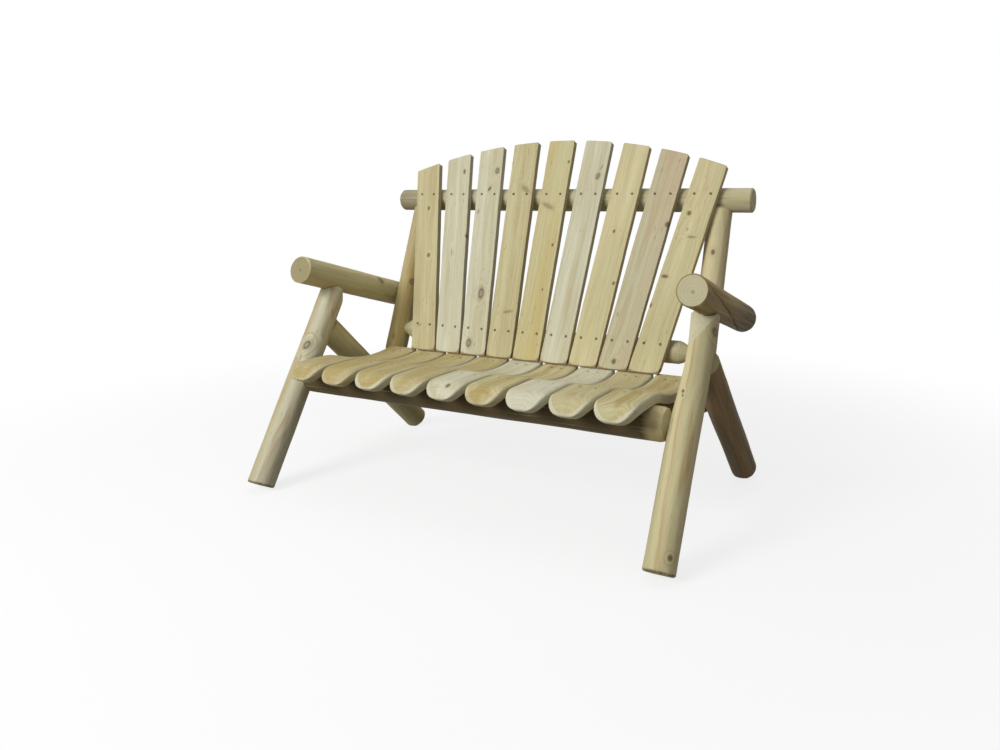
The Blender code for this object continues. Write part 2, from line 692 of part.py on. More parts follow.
def screw_holes(name, places, length):
    bodies = [(point, direction, screw_profile(length, GAP)) for point, direction in places]
    return cutter(name, bodies, SCREW_SIDES)


def lag_places(sign):
    """Where the two lag screws of one side bear: (seat, direction) at the arm and at the rear rail."""
    inner = side_point(POST_ARM_CROSSING, sign * (POST_X - POST_RADIUS + COUNTERBORE_DEPTH))
    behind = back_point(REAR_RAIL_UP, POST_IN + POST_TAIL_RADIUS - COUNTERBORE_DEPTH)
    return (inner, ACROSS * sign), (side_point(behind, sign * POST_X), -BACK_INWARD)


def lag_screw(name, place, length):
    """A lag screw as one stepped body: hex head, then the shank to a point."""
    point, direction = place
    under = WASHER_THICKNESS + GAP * 2
    stem = LAG_HEAD_HEIGHT + under + length
    profile = [(0, LAG_HEAD_RADIUS), (LAG_HEAD_HEIGHT, LAG_HEAD_RADIUS), (LAG_HEAD_HEIGHT, LAG_SHANK_RADIUS),
               (stem - LAG_POINT, LAG_SHANK_RADIUS), (stem, 0)]
    start = point - direction * (under + LAG_HEAD_HEIGHT)
    return round_piece(name, start, direction, profile, HEX_SIDES, steel(name))


def lag_hole(name, place, length):
    """Counterbore and pilot hole of a lag screw."""
    point, direction = place
    bore = LAG_SHANK_RADIUS + GAP
    profile = [(-OVERRUN - COUNTERBORE_DEPTH, COUNTERBORE_RADIUS), (0, COUNTERBORE_RADIUS), (0, bore),
               (length - LAG_POINT, bore), (length + GAP * 2, 0)]
    return cutter(name, [(point, direction, profile)], WASHER_SIDES)


def washer(name, place):
    """A flat ring washer under a lag screw's head."""
    point, direction = place
    inner = LAG_SHANK_RADIUS + GAP
    corners = ((inner, 0), (WASHER_RADIUS, 0), (WASHER_RADIUS, WASHER_THICKNESS), (inner, WASHER_THICKNESS))
    bm = bmesh.new()
    loops = []
    for index in range(WASHER_SIDES):
        angle = 2 * pi * index / WASHER_SIDES
        loops.append([bm.verts.new((r * cos(angle), r * sin(angle), z)) for r, z in corners])
    for index, loop in enumerate(loops):
        after = loops[(index + 1) % WASHER_SIDES]
        for step in range(len(corners)):
            other = (step + 1) % len(corners)
            bm.faces.new((loop[step], after[step], after[other], loop[other]))
    ring = finish_object(name, bm, steel(name))
    ring.location = point - direction * (WASHER_THICKNESS + GAP)
    ring.rotation_euler = aim(direction).to_euler()
    return ring


def dowel_screw(name, point, direction, pieces):
    """A hidden double-ended screw in an end-grain joint, and its hole in both pieces."""
    length = DOWEL_HALF_LENGTH
    round_piece(name, point, direction, plain_rod(-length, length, DOWEL_RADIUS), LAG_SIDES, steel(name))
    reach = length + GAP
    hole = cutter(name + "_hole", [(point, direction, plain_rod(-reach, reach, DOWEL_RADIUS + GAP))], LAG_SIDES)
    for piece in pieces:
        cut(piece, hole)


def side_pieces(side, sign, upper, rear):
    """The legs, arm and post of one side, with the screws that hold them."""
    front, back = front_leg(side, sign), rear_leg(side, sign)
    rest, post = arm(side, sign), back_post(side, sign)
    arm_place, rail_place = lag_places(sign)
    arm_length = POST_RADIUS * 2 - COUNTERBORE_DEPTH + LAG_GRIP
    rail_length = POST_TAIL_RADIUS - COUNTERBORE_DEPTH + LAG_GRIP
    for kind, place, length, held in (("arm", arm_place, arm_length, (post, rest)),
                                      ("post", rail_place, rail_length, (post, rear))):
        lag_screw(f"{kind}_lag_screw_{side}", place, length)
        washer(f"{kind}_lag_washer_{side}", place)
        hole = lag_hole(f"{kind}_lag_hole_{side}", place, length)
        for piece in held:
            cut(piece, hole)
    dowel_screw(f"arm_dowel_screw_{side}", side_point(ARM_SEAT, sign * FRONT_LEG_X), FRONT_LEG_UP, (front, rest))
    dowel_screw(f"leg_dowel_screw_{side}", side_point(REAR_LEG_TOP, sign * REAR_LEG_X), REAR_LEG_UP, (front, back))
    dowel_screw(f"post_dowel_screw_{side}", side_point(POST_SEAT, sign * POST_X), BACK_UP, (post, upper))


def build():
    """Make every piece, then drill every board and rail from the same places."""
    remove_everything()
    upper = upper_back_rail()
    lower = tenoned_rail("lower_back_rail", LOWER_RAIL, LOWER_RAIL_RADIUS, SHOULDER_RADIUS, POST_X, POST_RADIUS,
                         -BACK_INWARD)
    front = tenoned_rail("front_seat_rail", on_front_leg(FRONT_RAIL_HEIGHT), FRONT_RAIL_RADIUS,
                         FRONT_SHOULDER_RADIUS, FRONT_LEG_X, FRONT_LEG_RADIUS, Vector((0, 0, 1)))
    rear = tenoned_rail("rear_seat_rail", rear_rail_centre(), REAR_RAIL_RADIUS, SHOULDER_RADIUS, REAR_LEG_X,
                        REAR_LEG_RADIUS, seat_up())
    for side, sign in SIDES:
        side_pieces(side, sign, upper, rear)
    back = [back_slat(index) for index in range(BACK_SLAT_COUNT)]
    seat = [seat_slat(index) for index in range(SEAT_SLAT_COUNT)]
    crest = on_front_leg(FRONT_RAIL_HEIGHT) + Vector((0, 0, FRONT_RAIL_RADIUS + GAP))
    contact, heading = SEAT_REAR_CONTACT
    front_places = seat_screw_places(crest, 0, SEAT_FRONT_SCREW_SPREAD)
    rear_places = seat_screw_places(contact, heading, SEAT_REAR_SCREW_SPREAD)
    rows = (("back_slat", "upper", back_screw_places(UPPER_RAIL_UP), BACK_SCREW_LENGTH, back, upper),
            ("back_slat", "lower", back_screw_places(LOWER_SCREWS_UP), BACK_SCREW_LENGTH, back, lower),
            ("seat_slat", "front", front_places, SEAT_SCREW_LENGTH, seat, front),
            ("seat_slat", "rear", rear_places, SEAT_SCREW_LENGTH, seat, rear))
    for family, where, places, length, boards, rail in rows:
        end_board_screws(family, where, places, length)
        holes = screw_holes(f"{family}_{where}_holes", places, length)
        for piece in boards + [rail]:
            cut(piece, holes)


build()
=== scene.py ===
"""Log loveseat: the visible surfaces of a rustic two-seat bench of peeled white cedar.

The file is laid out as a Blender add-on and is run as a script. Metres, +Z up, and the
bench's front looks towards -Y. Each log and board is one closed surface worked out with
numpy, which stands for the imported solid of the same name. The lag screws, washers and
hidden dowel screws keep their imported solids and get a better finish.
"""

from math import cos, pi, radians, sin, tan

import bpy
import numpy as np
from bpy.props import FloatProperty, FloatVectorProperty, IntProperty, PointerProperty
from mathutils import Euler, Matrix, Vector


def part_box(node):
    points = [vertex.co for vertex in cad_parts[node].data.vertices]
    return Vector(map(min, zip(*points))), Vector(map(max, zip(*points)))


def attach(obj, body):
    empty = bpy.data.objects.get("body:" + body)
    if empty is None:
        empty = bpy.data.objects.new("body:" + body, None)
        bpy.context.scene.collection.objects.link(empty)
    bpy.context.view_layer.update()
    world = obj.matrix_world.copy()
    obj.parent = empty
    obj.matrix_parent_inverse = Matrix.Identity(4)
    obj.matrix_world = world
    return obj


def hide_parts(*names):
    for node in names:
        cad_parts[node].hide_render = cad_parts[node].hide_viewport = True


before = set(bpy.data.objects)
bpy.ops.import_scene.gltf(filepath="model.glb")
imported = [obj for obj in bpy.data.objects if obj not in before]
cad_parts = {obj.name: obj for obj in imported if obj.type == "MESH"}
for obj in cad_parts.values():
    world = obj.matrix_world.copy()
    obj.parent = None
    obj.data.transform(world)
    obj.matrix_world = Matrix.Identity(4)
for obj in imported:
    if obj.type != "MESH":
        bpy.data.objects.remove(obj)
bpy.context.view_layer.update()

bl_info = {
    "name": "Log loveseat",
    "version": (1, 0, 0),
    "blender": (4, 5, 0),
    "location": "3D View > Sidebar > Bench",
    "description": "Peeled cedar logs, shaped boards, screws and a plain stage for a two-seat bench",
    "category": "Object",
}

SIDES = ("left", "right")

# A length too small to matter
HAIR = 1e-6

# Edges sharper than this are shaded as edges
SHARP_ANGLE = radians(38)

# How strongly a log's columns crowd round its check, where the rows next to its ends lie, and the least
# distance that its surface keeps inside the sawn radius
CROWDING = 0.80
END_ROWS = np.array([0, 0.25, 0.5, 0.75, 1, 1.3, 1.8, 2.6, 4]) * 0.0035
KEPT_INSIDE = 0.00005


def linear(code):
    """Linear colour of an sRGB hex code: below 0.04045 a twelfth part, above it a power curve."""
    shares = np.array([int(code[start:start + 2], 16) for start in (1, 3, 5)]) / 255
    low = shares / 12.92
    high = ((shares + 0.055) / 1.055) ** 2.4
    return tuple(float(share) for share in np.where(shares <= 0.04045, low, high))


def length_of(name, description, default):
    """A setting that is a length in metres."""
    return FloatProperty(name=name, description=description, default=default, unit="LENGTH")


def angle_of(name, description, default):
    """A setting that is an angle, given here in degrees."""
    return FloatProperty(name=name, description=description, default=radians(default), subtype="ANGLE")


def number_of(name, description, default):
    """A setting that is a plain number."""
    return FloatProperty(name=name, description=description, default=default)


def colour_of(name, description, default):
    """A setting that is a colour, given here as an sRGB hex code."""
    return FloatVectorProperty(name=name, description=description, default=linear(default), subtype="COLOR")


class BenchLogs(bpy.types.PropertyGroup):
    """Sizes of the round logs."""

    leg_radius: length_of("Leg radius", "Radius of all four legs", 0.0381)
    arm_radius: length_of("Arm radius", "Radius of the arm logs", 0.0406)
    post_radius: length_of("Post radius", "Radius of the back posts", 0.0356)
    upper_rail_radius: length_of("Upper rail radius", "Radius of the rail behind the boards' tops", 0.0356)
    lower_rail_radius: length_of("Lower rail radius", "Radius of the rail between the posts", 0.0330)
    front_rail_radius: length_of("Front rail radius", "Radius of the rail under the boards' noses", 0.0420)
    rear_rail_radius: length_of("Rear rail radius", "Radius of the rail under the boards' rear", 0.0343)
    front_lean: angle_of("Front leg lean", "Lean of the front legs from upright", 31.0)
    arm_slope: angle_of("Arm slope", "Fall of the arms towards the rear", 15.3)
    arm_length: length_of("Arm length", "Length of an arm log", 0.4930)
    end_chamfer: length_of("End chamfer", "Bevel round a sawn end", 0.0035)
    facet: FloatProperty(name="Drawknife facets", description="How flat the drawknife left its strokes",
                         default=0.34, subtype="FACTOR", min=0, max=1)
    wander: length_of("Crookedness", "How far a log's surface strays inwards", 0.0009)
    columns: IntProperty(name="Columns", description="Points round a log", default=128)
    rows: IntProperty(name="Rows", description="Rows of points along a log", default=110)


class BenchBoards(bpy.types.PropertyGroup):
    """Sizes of the flat back boards and of the shaped seat boards."""

    count: IntProperty(name="Boards", description="Boards in the back, and in the seat", default=9)
    back_lean: angle_of("Back lean", "Lean of the back from upright", 20.7)
    back_low_y: length_of("Back foot", "Y of the boards' front lower edge", 0.1086)
    back_low_z: length_of("Back height", "Height of the boards' lower edge", 0.3335)
    back_length: length_of("Back length", "Length of the tallest board", 0.70245)
    back_width: length_of("Back board width", "Width of a back board", 0.088856)
    back_thickness: length_of("Back board thickness", "Thickness of a back board", 0.0191)
    low_pitch: length_of("Lower pitch", "Distance between boards at their lower edge", 0.092456)
    high_pitch: length_of("Upper pitch", "Distance between boards at the upper rail", 0.118872)
    top_radius: length_of("Top arc", "Radius of the arc that the boards' tops follow", 1.56972)
    low_edge: length_of("Lower edge", "Rounding of the back boards' lower front edge", 0.0020)
    corner_radius: length_of("Corner radius", "Rounding of a back board's upper corners", 0.0045)
    back_edge: length_of("Back board edge", "Rounding along a back board's edges", 0.0018)
    seat_pitch: length_of("Seat pitch", "Distance between seat boards", 0.114808)
    seat_width: length_of("Seat board width", "Width of a seat board", 0.107508)
    seat_thickness: length_of("Seat board thickness", "Thickness of a seat board", 0.0241)
    seat_edge: length_of("Seat board edge", "Rounding along a seat board's upper edges", 0.0068)
    tongue_round: length_of("Tongue corners", "Rounding of a seat board's front corners", 0.0420)


class BenchScrews(bpy.types.PropertyGroup):
    """Sizes of the screws that hold the boards."""

    head_radius: length_of("Head radius", "Radius of a countersunk head", 0.0033)
    shank_radius: length_of("Shank radius", "Radius of a screw's shank", 0.0020)
    length: length_of("Length", "Length of a screw", 0.0500)
    sink: length_of("Sink", "Depth of a head below the wood", 0.0011)


class BenchFinish(bpy.types.PropertyGroup):
    """Colours of the cedar and of the steel."""

    cream: colour_of("Cream", "Palest sapwood", "#cfcdb4")
    grey: colour_of("Grey", "Greyish sapwood", "#c1bc9c")
    straw: colour_of("Straw", "Yellowish heartwood", "#c5be93")
    tan: colour_of("Tan", "Tan heartwood", "#bab087")
    honey: colour_of("Honey", "Warm yellow heartwood", "#c2b37c")
    blond: colour_of("Blond", "Fresh pale heartwood", "#d2c79c")
    amber: colour_of("Amber", "Darker yellow heartwood", "#aea06a")
    moss: colour_of("Moss", "Greenish weathered end grain", "#9c9570")
    rose: colour_of("Rose", "Pinkish heartwood", "#c2b495")
    olive: colour_of("Olive", "Weathered log wood", "#a8965f")
    # Brown is also painted shade: on the right rear leg, the rear seat rail, the back boards' edges and, in
    # part, the right arm
    brown: colour_of("Brown", "Dark log wood", "#7f6944")
    late_wood: colour_of("Latewood", "Dark line that closes each growth ring", "#a67f48")
    # Umber is painted shade on the right rear leg, the rear seat rail and the shaded spans of the front and
    # upper rails, and also browns weathered ends
    umber: colour_of("Umber", "Darkest weathered wood", "#574a2c")
    knot: colour_of("Knot", "Branch wood in a knot", "#5d482b")
    zinc: colour_of("Zinc", "Zinc plating", "#8d8a80")
    screw: colour_of("Screw coating", "Brown-grey coating of the deck screws", "#55493a")
    rust: colour_of("Rust", "Brown specks on the steel", "#3c2812")


class BenchStage(bpy.types.PropertyGroup):
    """Camera and lamps."""

    camera_place: FloatVectorProperty(name="Camera", description="Place of the camera", subtype="TRANSLATION",
                                      default=(1.1133, -1.8264, 0.8111))
    camera_yaw: angle_of("Yaw", "Turn of the camera to the left of +Y", 25.86)
    camera_pitch: angle_of("Pitch", "Fall of the camera's view below level", 6.566)
    lens: number_of("Lens", "Focal length on a 36 mm sensor, in millimetres", 27.685)
    key: number_of("Key lamp", "Strength of the main lamp in watts", 135)
    fill: number_of("Fill lamp", "Strength of the fill lamp in watts", 7)
    top: number_of("Top lamp", "Strength of the top lamp in watts", 26)
    ambient: number_of("Ambient", "Strength of the even light from all round", 0.24)


def grid_faces(rows, columns, first=0):
    """Quads between neighbouring rows of a grid whose last column meets its first."""
    index = first + np.arange(rows * columns).reshape(rows, columns)
    index = np.hstack([index, index[:, :1]])
    corners = [index[:-1, :-1], index[:-1, 1:], index[1:, 1:], index[1:, :-1]]
    return np.stack(corners, axis=-1).reshape(-1, 4)


def fan_faces(ring, pole, upward):
    """Triangles from a closed ring of points to one pole, facing along the rows or against them."""
    after = np.roll(ring, -1)
    pair = (ring, after) if upward else (after, ring)
    return np.stack([pair[0], pair[1], np.full(len(ring), pole)], axis=-1)


def put_mesh(name, points, faces, node, surface, edge=None):
    """Make a smooth object of the points and of arrays of quads and triangles, and seat it in the frame.

    edge holds a board's distance in from its outline at each point, which the wood reads as an attribute.
    """
    mesh = bpy.data.meshes.new(name)
    corners = np.concatenate([part.reshape(-1) for part in faces]).astype(np.int32)
    sizes = np.concatenate([np.full(len(part), part.shape[1]) for part in faces])
    starts = (np.cumsum(sizes) - sizes).astype(np.int32)
    mesh.vertices.add(len(points))
    mesh.vertices.foreach_set("co", points.astype(np.float32).ravel())
    mesh.loops.add(len(corners))
    mesh.loops.foreach_set("vertex_index", corners)
    mesh.polygons.add(len(sizes))
    mesh.polygons.foreach_set("loop_start", starts)
    mesh.update(calc_edges=True)
    if edge is not None:
        way = mesh.attributes.new("edge_way", "FLOAT", "POINT")
        way.data.foreach_set("value", edge.astype(np.float32).ravel())
    if mesh.validate():
        raise RuntimeError(f"{name} has a bad face")
    mesh.shade_smooth()
    mesh.set_sharp_from_angle(angle=SHARP_ANGLE)
    mesh.materials.append(surface)
    made = bpy.data.objects.new(name, mesh)
    bpy.context.scene.collection.objects.link(made)
    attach(made, "root")
    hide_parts(*node)
    return made


def wave(values, seed, lengths, heights):
    """Smooth wandering of the values: sines of the given lengths and heights with seeded phases."""
    rng = np.random.default_rng(seed)
    phases = rng.uniform(0, 2 * pi, len(lengths))
    total = np.zeros_like(values, dtype=float)
    for length, height, phase in zip(lengths, heights, phases):
        total = total + height * np.sin(2 * pi * values / length + phase)
    return total


def side_frame(point, direction):
    """Frame of a log in the bench's side plane or along its width: columns are across, depth and along."""
    along = Vector(direction).normalized()
    side = Vector((0, 1, 0)) if abs(along.x) > 0.5 else Vector((1, 0, 0))
    depth = along.cross(side).normalized()
    across = depth.cross(along)
    turn = Matrix((across, depth, along)).transposed()
    return Matrix.Translation(Vector(point)) @ turn.to_4x4()


def natural_radius(turn, along, radius, seed, logs):
    """Radius of a peeled log at each turn and place along it, never more than the sawn radius.

    A share of the radius of a many-sided prism gives the drawknife's facets, whose edges wander
    along the log; two slow waves make it slightly oval and crooked.
    """
    rng = np.random.default_rng(seed)
    sides = int(rng.integers(10, 14))
    shift = wave(along, seed + 1, (0.61, 0.23, 0.11), (0.30, 0.12, 0.05))
    step = 2 * pi / sides
    inside = np.mod(turn + shift, step) - step / 2
    facet = 1 - cos(step / 2) / np.cos(inside)
    second = np.mod(turn - shift * 0.7 + 1.3, 2 * pi / 7) - pi / 7
    broad = 1 - cos(pi / 7) / np.cos(second)
    oval = 0.5 + 0.5 * np.cos(2 * turn + wave(along, seed + 2, (0.9, 0.4), (0.6, 0.3)))
    crook = 0.5 + 0.25 * np.cos(turn + 1.1 * seed) * np.sin(2 * pi * along / 0.47 + seed)
    crook = crook + 0.25 * np.sin(2 * pi * along / 0.29 + turn + 2.3 * seed)
    inward = radius * logs.facet * (facet * 0.75 + broad * 0.12) + logs.wander * (oval * 0.7 + crook)
    return radius - inward


def crack_depth(turn, along, check):
    """Depth of a drying check: a narrow groove along a slowly wandering line, fading out at its ends.

    A check is (turn, first place, last place, depth, width, twist in radians per metre).
    """
    middle, first, last, depth, width, twist = check
    line = middle + twist * (along - first) + wave(along, int(depth * 1e6), (0.09, 0.04), (0.02, 0.01))
    apart = np.angle(np.exp(1j * (turn - line)))
    fade = np.clip((along - first) / 0.03, 0, 1) * np.clip((last - along) / 0.05, 0, 1)
    broken = 0.75 + 0.25 * np.sin(along * 310 + middle)
    return depth * fade * broken * np.exp(-((apart / width) ** 2))


def log_surface(length, limit, caps, radius, seed, check, shaves, scoop):
    """Points of a whole log: rings over the first end, rings along the side, rings over the last end.

    limit(z) is the largest radius at a distance along the log, for chamfers and cones. caps are two
    functions that give the distance along the log at which each end stops above a point (x, y) of
    its section. Columns crowd round the check, so that a narrow groove is cut by several of them.
    A shave (turn, first, middle, depth) is a hollow on one side: its depth is the squared sine of the
    way from first, and is greatest at the middle. A scoop (edge, far edge, first, last) is a slightly
    hollow flat whose one edge runs along the log while the other crosses its side, from first to last.
    Returns the rings, the two end points and, for each ring point, -1 on the scoop and 1 elsewhere.
    """
    logs = bpy.context.scene.bench_logs
    columns = logs.columns
    even = np.linspace(0, 2 * pi, columns, endpoint=False)
    turn = even - CROWDING * np.sin(even) + check[0]
    near = END_ROWS / length
    share = np.concatenate([near, np.linspace(near[-1], 1 - near[-1], logs.rows)[1:-1], 1 - near[::-1]])

    def scooped(z):
        """Radius that the scoop leaves at each place z of every column."""
        edge, far_edge, start, stop = scoop
        share = np.clip((z - start) / (stop - start), 0, 1)
        half_angle = np.maximum((far_edge - edge) / 2 * share, HAIR)
        turned = np.angle(np.exp(1j * (turn - edge - half_angle)))
        hollow = 0.0030 * share * np.clip(1 - (turned / half_angle) ** 2, 0, 1)
        return radius * np.cos(half_angle) / np.maximum(np.cos(turned), 0.05) - hollow

    def girth(z):
        """Radius of the log's side at each place z of every column."""
        natural = natural_radius(turn, z, radius, seed, logs)
        for facing, start, deepest, depth in shaves:
            flat = radius - depth * np.sin(np.clip((z - start) / (deepest - start), 0, 2) * pi / 2) ** 2
            natural = np.minimum(natural, flat / np.maximum(np.cos(turn - facing), 0.05))
        if scoop:
            natural = np.minimum(natural, scooped(z))
        natural = natural - crack_depth(turn, z, check)
        return np.minimum(natural, radius - KEPT_INSIDE) * np.minimum(limit(z), radius) / radius

    def rim(cap, guess):
        """Where each column's side meets an end surface, by repeated halving of the step."""
        z = np.full(columns, guess, dtype=float)
        for _ in range(40):
            size = girth(z)
            z = z + 0.5 * (cap(size * np.cos(turn), size * np.sin(turn)) - z)
        return z

    first, last = rim(caps[0], 0.0), rim(caps[1], length)
    z = first + (last - first) * share[:, None]
    size = np.stack([girth(row) for row in z])
    side = np.stack([size * np.cos(turn), size * np.sin(turn), z], axis=-1)
    inner = 1 - np.linspace(0, 1, 26)[1:-1] ** 1.25
    ends = []
    for cap, row in ((caps[0], side[0]), (caps[1], side[-1])):
        flat = row[None, :, :2] * inner[:, None, None]
        height = cap(flat[..., 0], flat[..., 1])
        ends.append(np.concatenate([flat, height[..., None]], axis=-1))
    body = np.concatenate([ends[0][::-1], side, ends[1]])
    centre = [[0, 0, float(cap(np.zeros(1), np.zeros(1))[0])] for cap in caps]
    way = np.ones(body.shape[:2])
    if scoop:
        way[len(inner):-len(inner)] = np.where(size > scooped(z) - 0.0008, -1, 1)
    return body, np.array(centre), way


def add_log(name, place, surface_points, surface):
    """Turn a log's local points into the bench's frame and make its closed mesh."""
    body, centre, way = surface_points
    rows, columns = body.shape[:2]
    points = np.concatenate([body.reshape(-1, 3), centre])
    turn = np.array(place.to_3x3())
    points = points @ turn.T + np.array(place.translation)
    points[:, 2] = np.maximum(points[:, 2], 0)
    count = rows * columns
    faces = [grid_faces(rows, columns), fan_faces(np.arange(columns), count, False),
             fan_faces(np.arange(count - columns, count), count + 1, True)]
    return put_mesh(name + "_cedar", points, faces, [name], surface, np.append(way.ravel(), [1, 1]))


def sawn(length, radius, start, stop):
    """Largest radius of a log with a bevel round both ends: it falls one for one within each bevel."""
    def limit(z):
        return np.minimum(radius, np.minimum(radius - start + z, radius - stop + (length - z)))
    return limit


def coned(length, radius, shoulder, taper):
    """Largest radius of a log with a round tenon at both ends and a cone from each shoulder upwards."""
    def limit(z):
        inside = np.minimum(z, length - z)
        cone = shoulder + (inside - TENON_LENGTH) * taper
        return np.where(inside < TENON_LENGTH, TENON, np.minimum(radius, cone))
    return limit


def flat_end(z):
    """An end sawn square at one distance along the log."""
    return lambda x, y: np.full_like(x, z, dtype=float)


def coped_end(z, place, centre, direction, radius):
    """An end sawn square at z, then hollowed by a round log that crosses it.

    Along the log's own line through (x, y), the hollow starts where that line enters the crossing
    log: the nearer root of a quadratic in the distance.
    """
    back = place.inverted()
    start = np.array(back @ Vector(centre))
    along = np.array((back.to_3x3() @ Vector(direction)).normalized())

    def cap(x, y):
        apart = np.stack([x - start[0], y - start[1], np.zeros_like(x) - start[2]], axis=-1)
        ray = np.array([0, 0, 1.0]) - along[2] * along
        flat = apart - (apart @ along)[..., None] * along
        a = ray @ ray
        b = 2 * (flat @ ray)
        c = np.sum(flat * flat, axis=-1) - radius ** 2
        inside = b * b - 4 * a * c
        enter = (-b - np.sqrt(np.maximum(inside, 0))) / (2 * a)
        return np.where(inside > 0, np.minimum(enter, z), z)
    return cap


def add(tree, kind, inputs=None, out=0, stops=None, **settings):
    """Add a shader node with its settings and return one of its outputs, or the node where out is None.

    Each input is a plain value or a socket to link from. Stops are a ramp's positions and greys.
    """
    made = tree.nodes.new("ShaderNode" + kind)
    for key, value in settings.items():
        setattr(made, key, value)
    for key, value in (inputs or {}).items():
        if isinstance(value, bpy.types.NodeSocket):
            tree.links.new(value, made.inputs[key])
        else:
            made.inputs[key].default_value = value
    if stops:
        elements = made.color_ramp.elements
        while len(elements) < len(stops):
            elements.new(0.5)
        for element, (position, shade) in zip(elements, stops):
            element.position = position
            element.color = (shade, shade, shade, 1)
    return made if out is None else made.outputs[out]


def new_material(name):
    """A new material with its node tree, its shader and the object's own coordinates."""
    made = bpy.data.materials.new(name)
    made.use_nodes = True
    tree = made.node_tree
    return made, tree, tree.nodes["Principled BSDF"], add(tree, "TexCoord", out="Object")


def wood(kind):
    """Colour of one kind of wood."""
    return (*getattr(bpy.context.scene.bench_finish, kind), 1)


def ring_part(tree, distance, years, gap, start, unevenness):
    """How far through its year the wood is, from 0 to 1, where years lie a gap apart more or less evenly."""
    count = add(tree, "Math", {0: distance, 1: 1 / gap, 2: start}, operation="MULTIPLY_ADD")
    count = add(tree, "Math", {0: years, 1: unevenness, 2: count}, operation="MULTIPLY_ADD")
    return add(tree, "Math", {0: count}, operation="FRACT")


def knotted(tree, bent, distance, knots):
    """Distance from the pith with the rings pushed aside by knots, and the darkness of the knots.

    A knot (across, depth, along, size, angle, stretch) is an oval turned in the board's face. The
    rings bulge round it, and its middle is branch wood.
    """
    mask = None
    for across, depth, along, size, angle, stretch in knots:
        oval = add(tree, "Mapping", {"Vector": bent, "Location": (across, depth, along),
                                     "Rotation": (0, radians(angle), 0), "Scale": (1, 2.2, stretch)},
                   vector_type="TEXTURE")
        far = add(tree, "VectorMath", {0: oval}, "Value", operation="LENGTH")
        bulge = add(tree, "MapRange", {"Value": far, 1: 0.0, 2: size * 4.0, 3: size * 1.4, 4: 0.0},
                    interpolation_type="SMOOTHERSTEP")
        distance = add(tree, "Math", {0: distance, 1: bulge})
        # A long oval is a faint smear, and a large knot has a dark ring round a paler middle
        strength = 0.55 if stretch >= 2 else 1.0
        middle = strength * (0.6 if size > 0.0068 and stretch < 2 else 0.95)
        dark = add(tree, "Math", {0: far, 1: 0.5 / size}, operation="MULTIPLY")
        dark = add(tree, "ValToRGB", {"Fac": dark},
                   stops=[(0.0, middle), (0.22, 0.95 * middle), (0.38, strength), (0.54, 0.45 * strength),
                          (0.74, 0.12 * strength), (1.0, 0.0)])
        mask = add(tree, "Math", {0: mask, 1: dark}, operation="MAXIMUM") if mask else dark
    return distance, mask


def with_sawn_ends(tree, toned, place, ends, distance, year, broad):
    """The wood's colour with greyer sawn ends, which show wide rings and a small darker pith."""
    normal = add(tree, "NewGeometry", out="Normal")
    axis = place.to_3x3() @ Vector((0, 0, 1))
    facing = add(tree, "VectorMath", {0: normal, 1: axis}, "Value", operation="DOT_PRODUCT")
    facing = add(tree, "Math", {0: facing}, operation="ABSOLUTE")
    end = add(tree, "MapRange", {"Value": facing, 1: 0.78, 2: 0.95}, interpolation_type="SMOOTHSTEP")
    whorl = add(tree, "ValToRGB", {"Fac": year},
                stops=[(0.0, 0.8), (0.25, 0.1), (0.7, 0.25), (1.0, 0.8)])
    whorl = add(tree, "Math", {0: whorl, 1: broad}, operation="MULTIPLY")
    sawn_end = add(tree, "Mix", {0: whorl, 6: wood(ends[0]), 7: wood(ends[1])}, 2, data_type="RGBA")
    core = add(tree, "MapRange", {"Value": distance, 1: 0.0015, 2: 0.0060, 3: 0.50, 4: 0.0})
    sawn_end = add(tree, "Mix", {0: core, 6: sawn_end, 7: wood("knot")}, 2, data_type="RGBA")
    return add(tree, "Mix", {0: end, 6: toned, 7: sawn_end}, 2, data_type="RGBA")


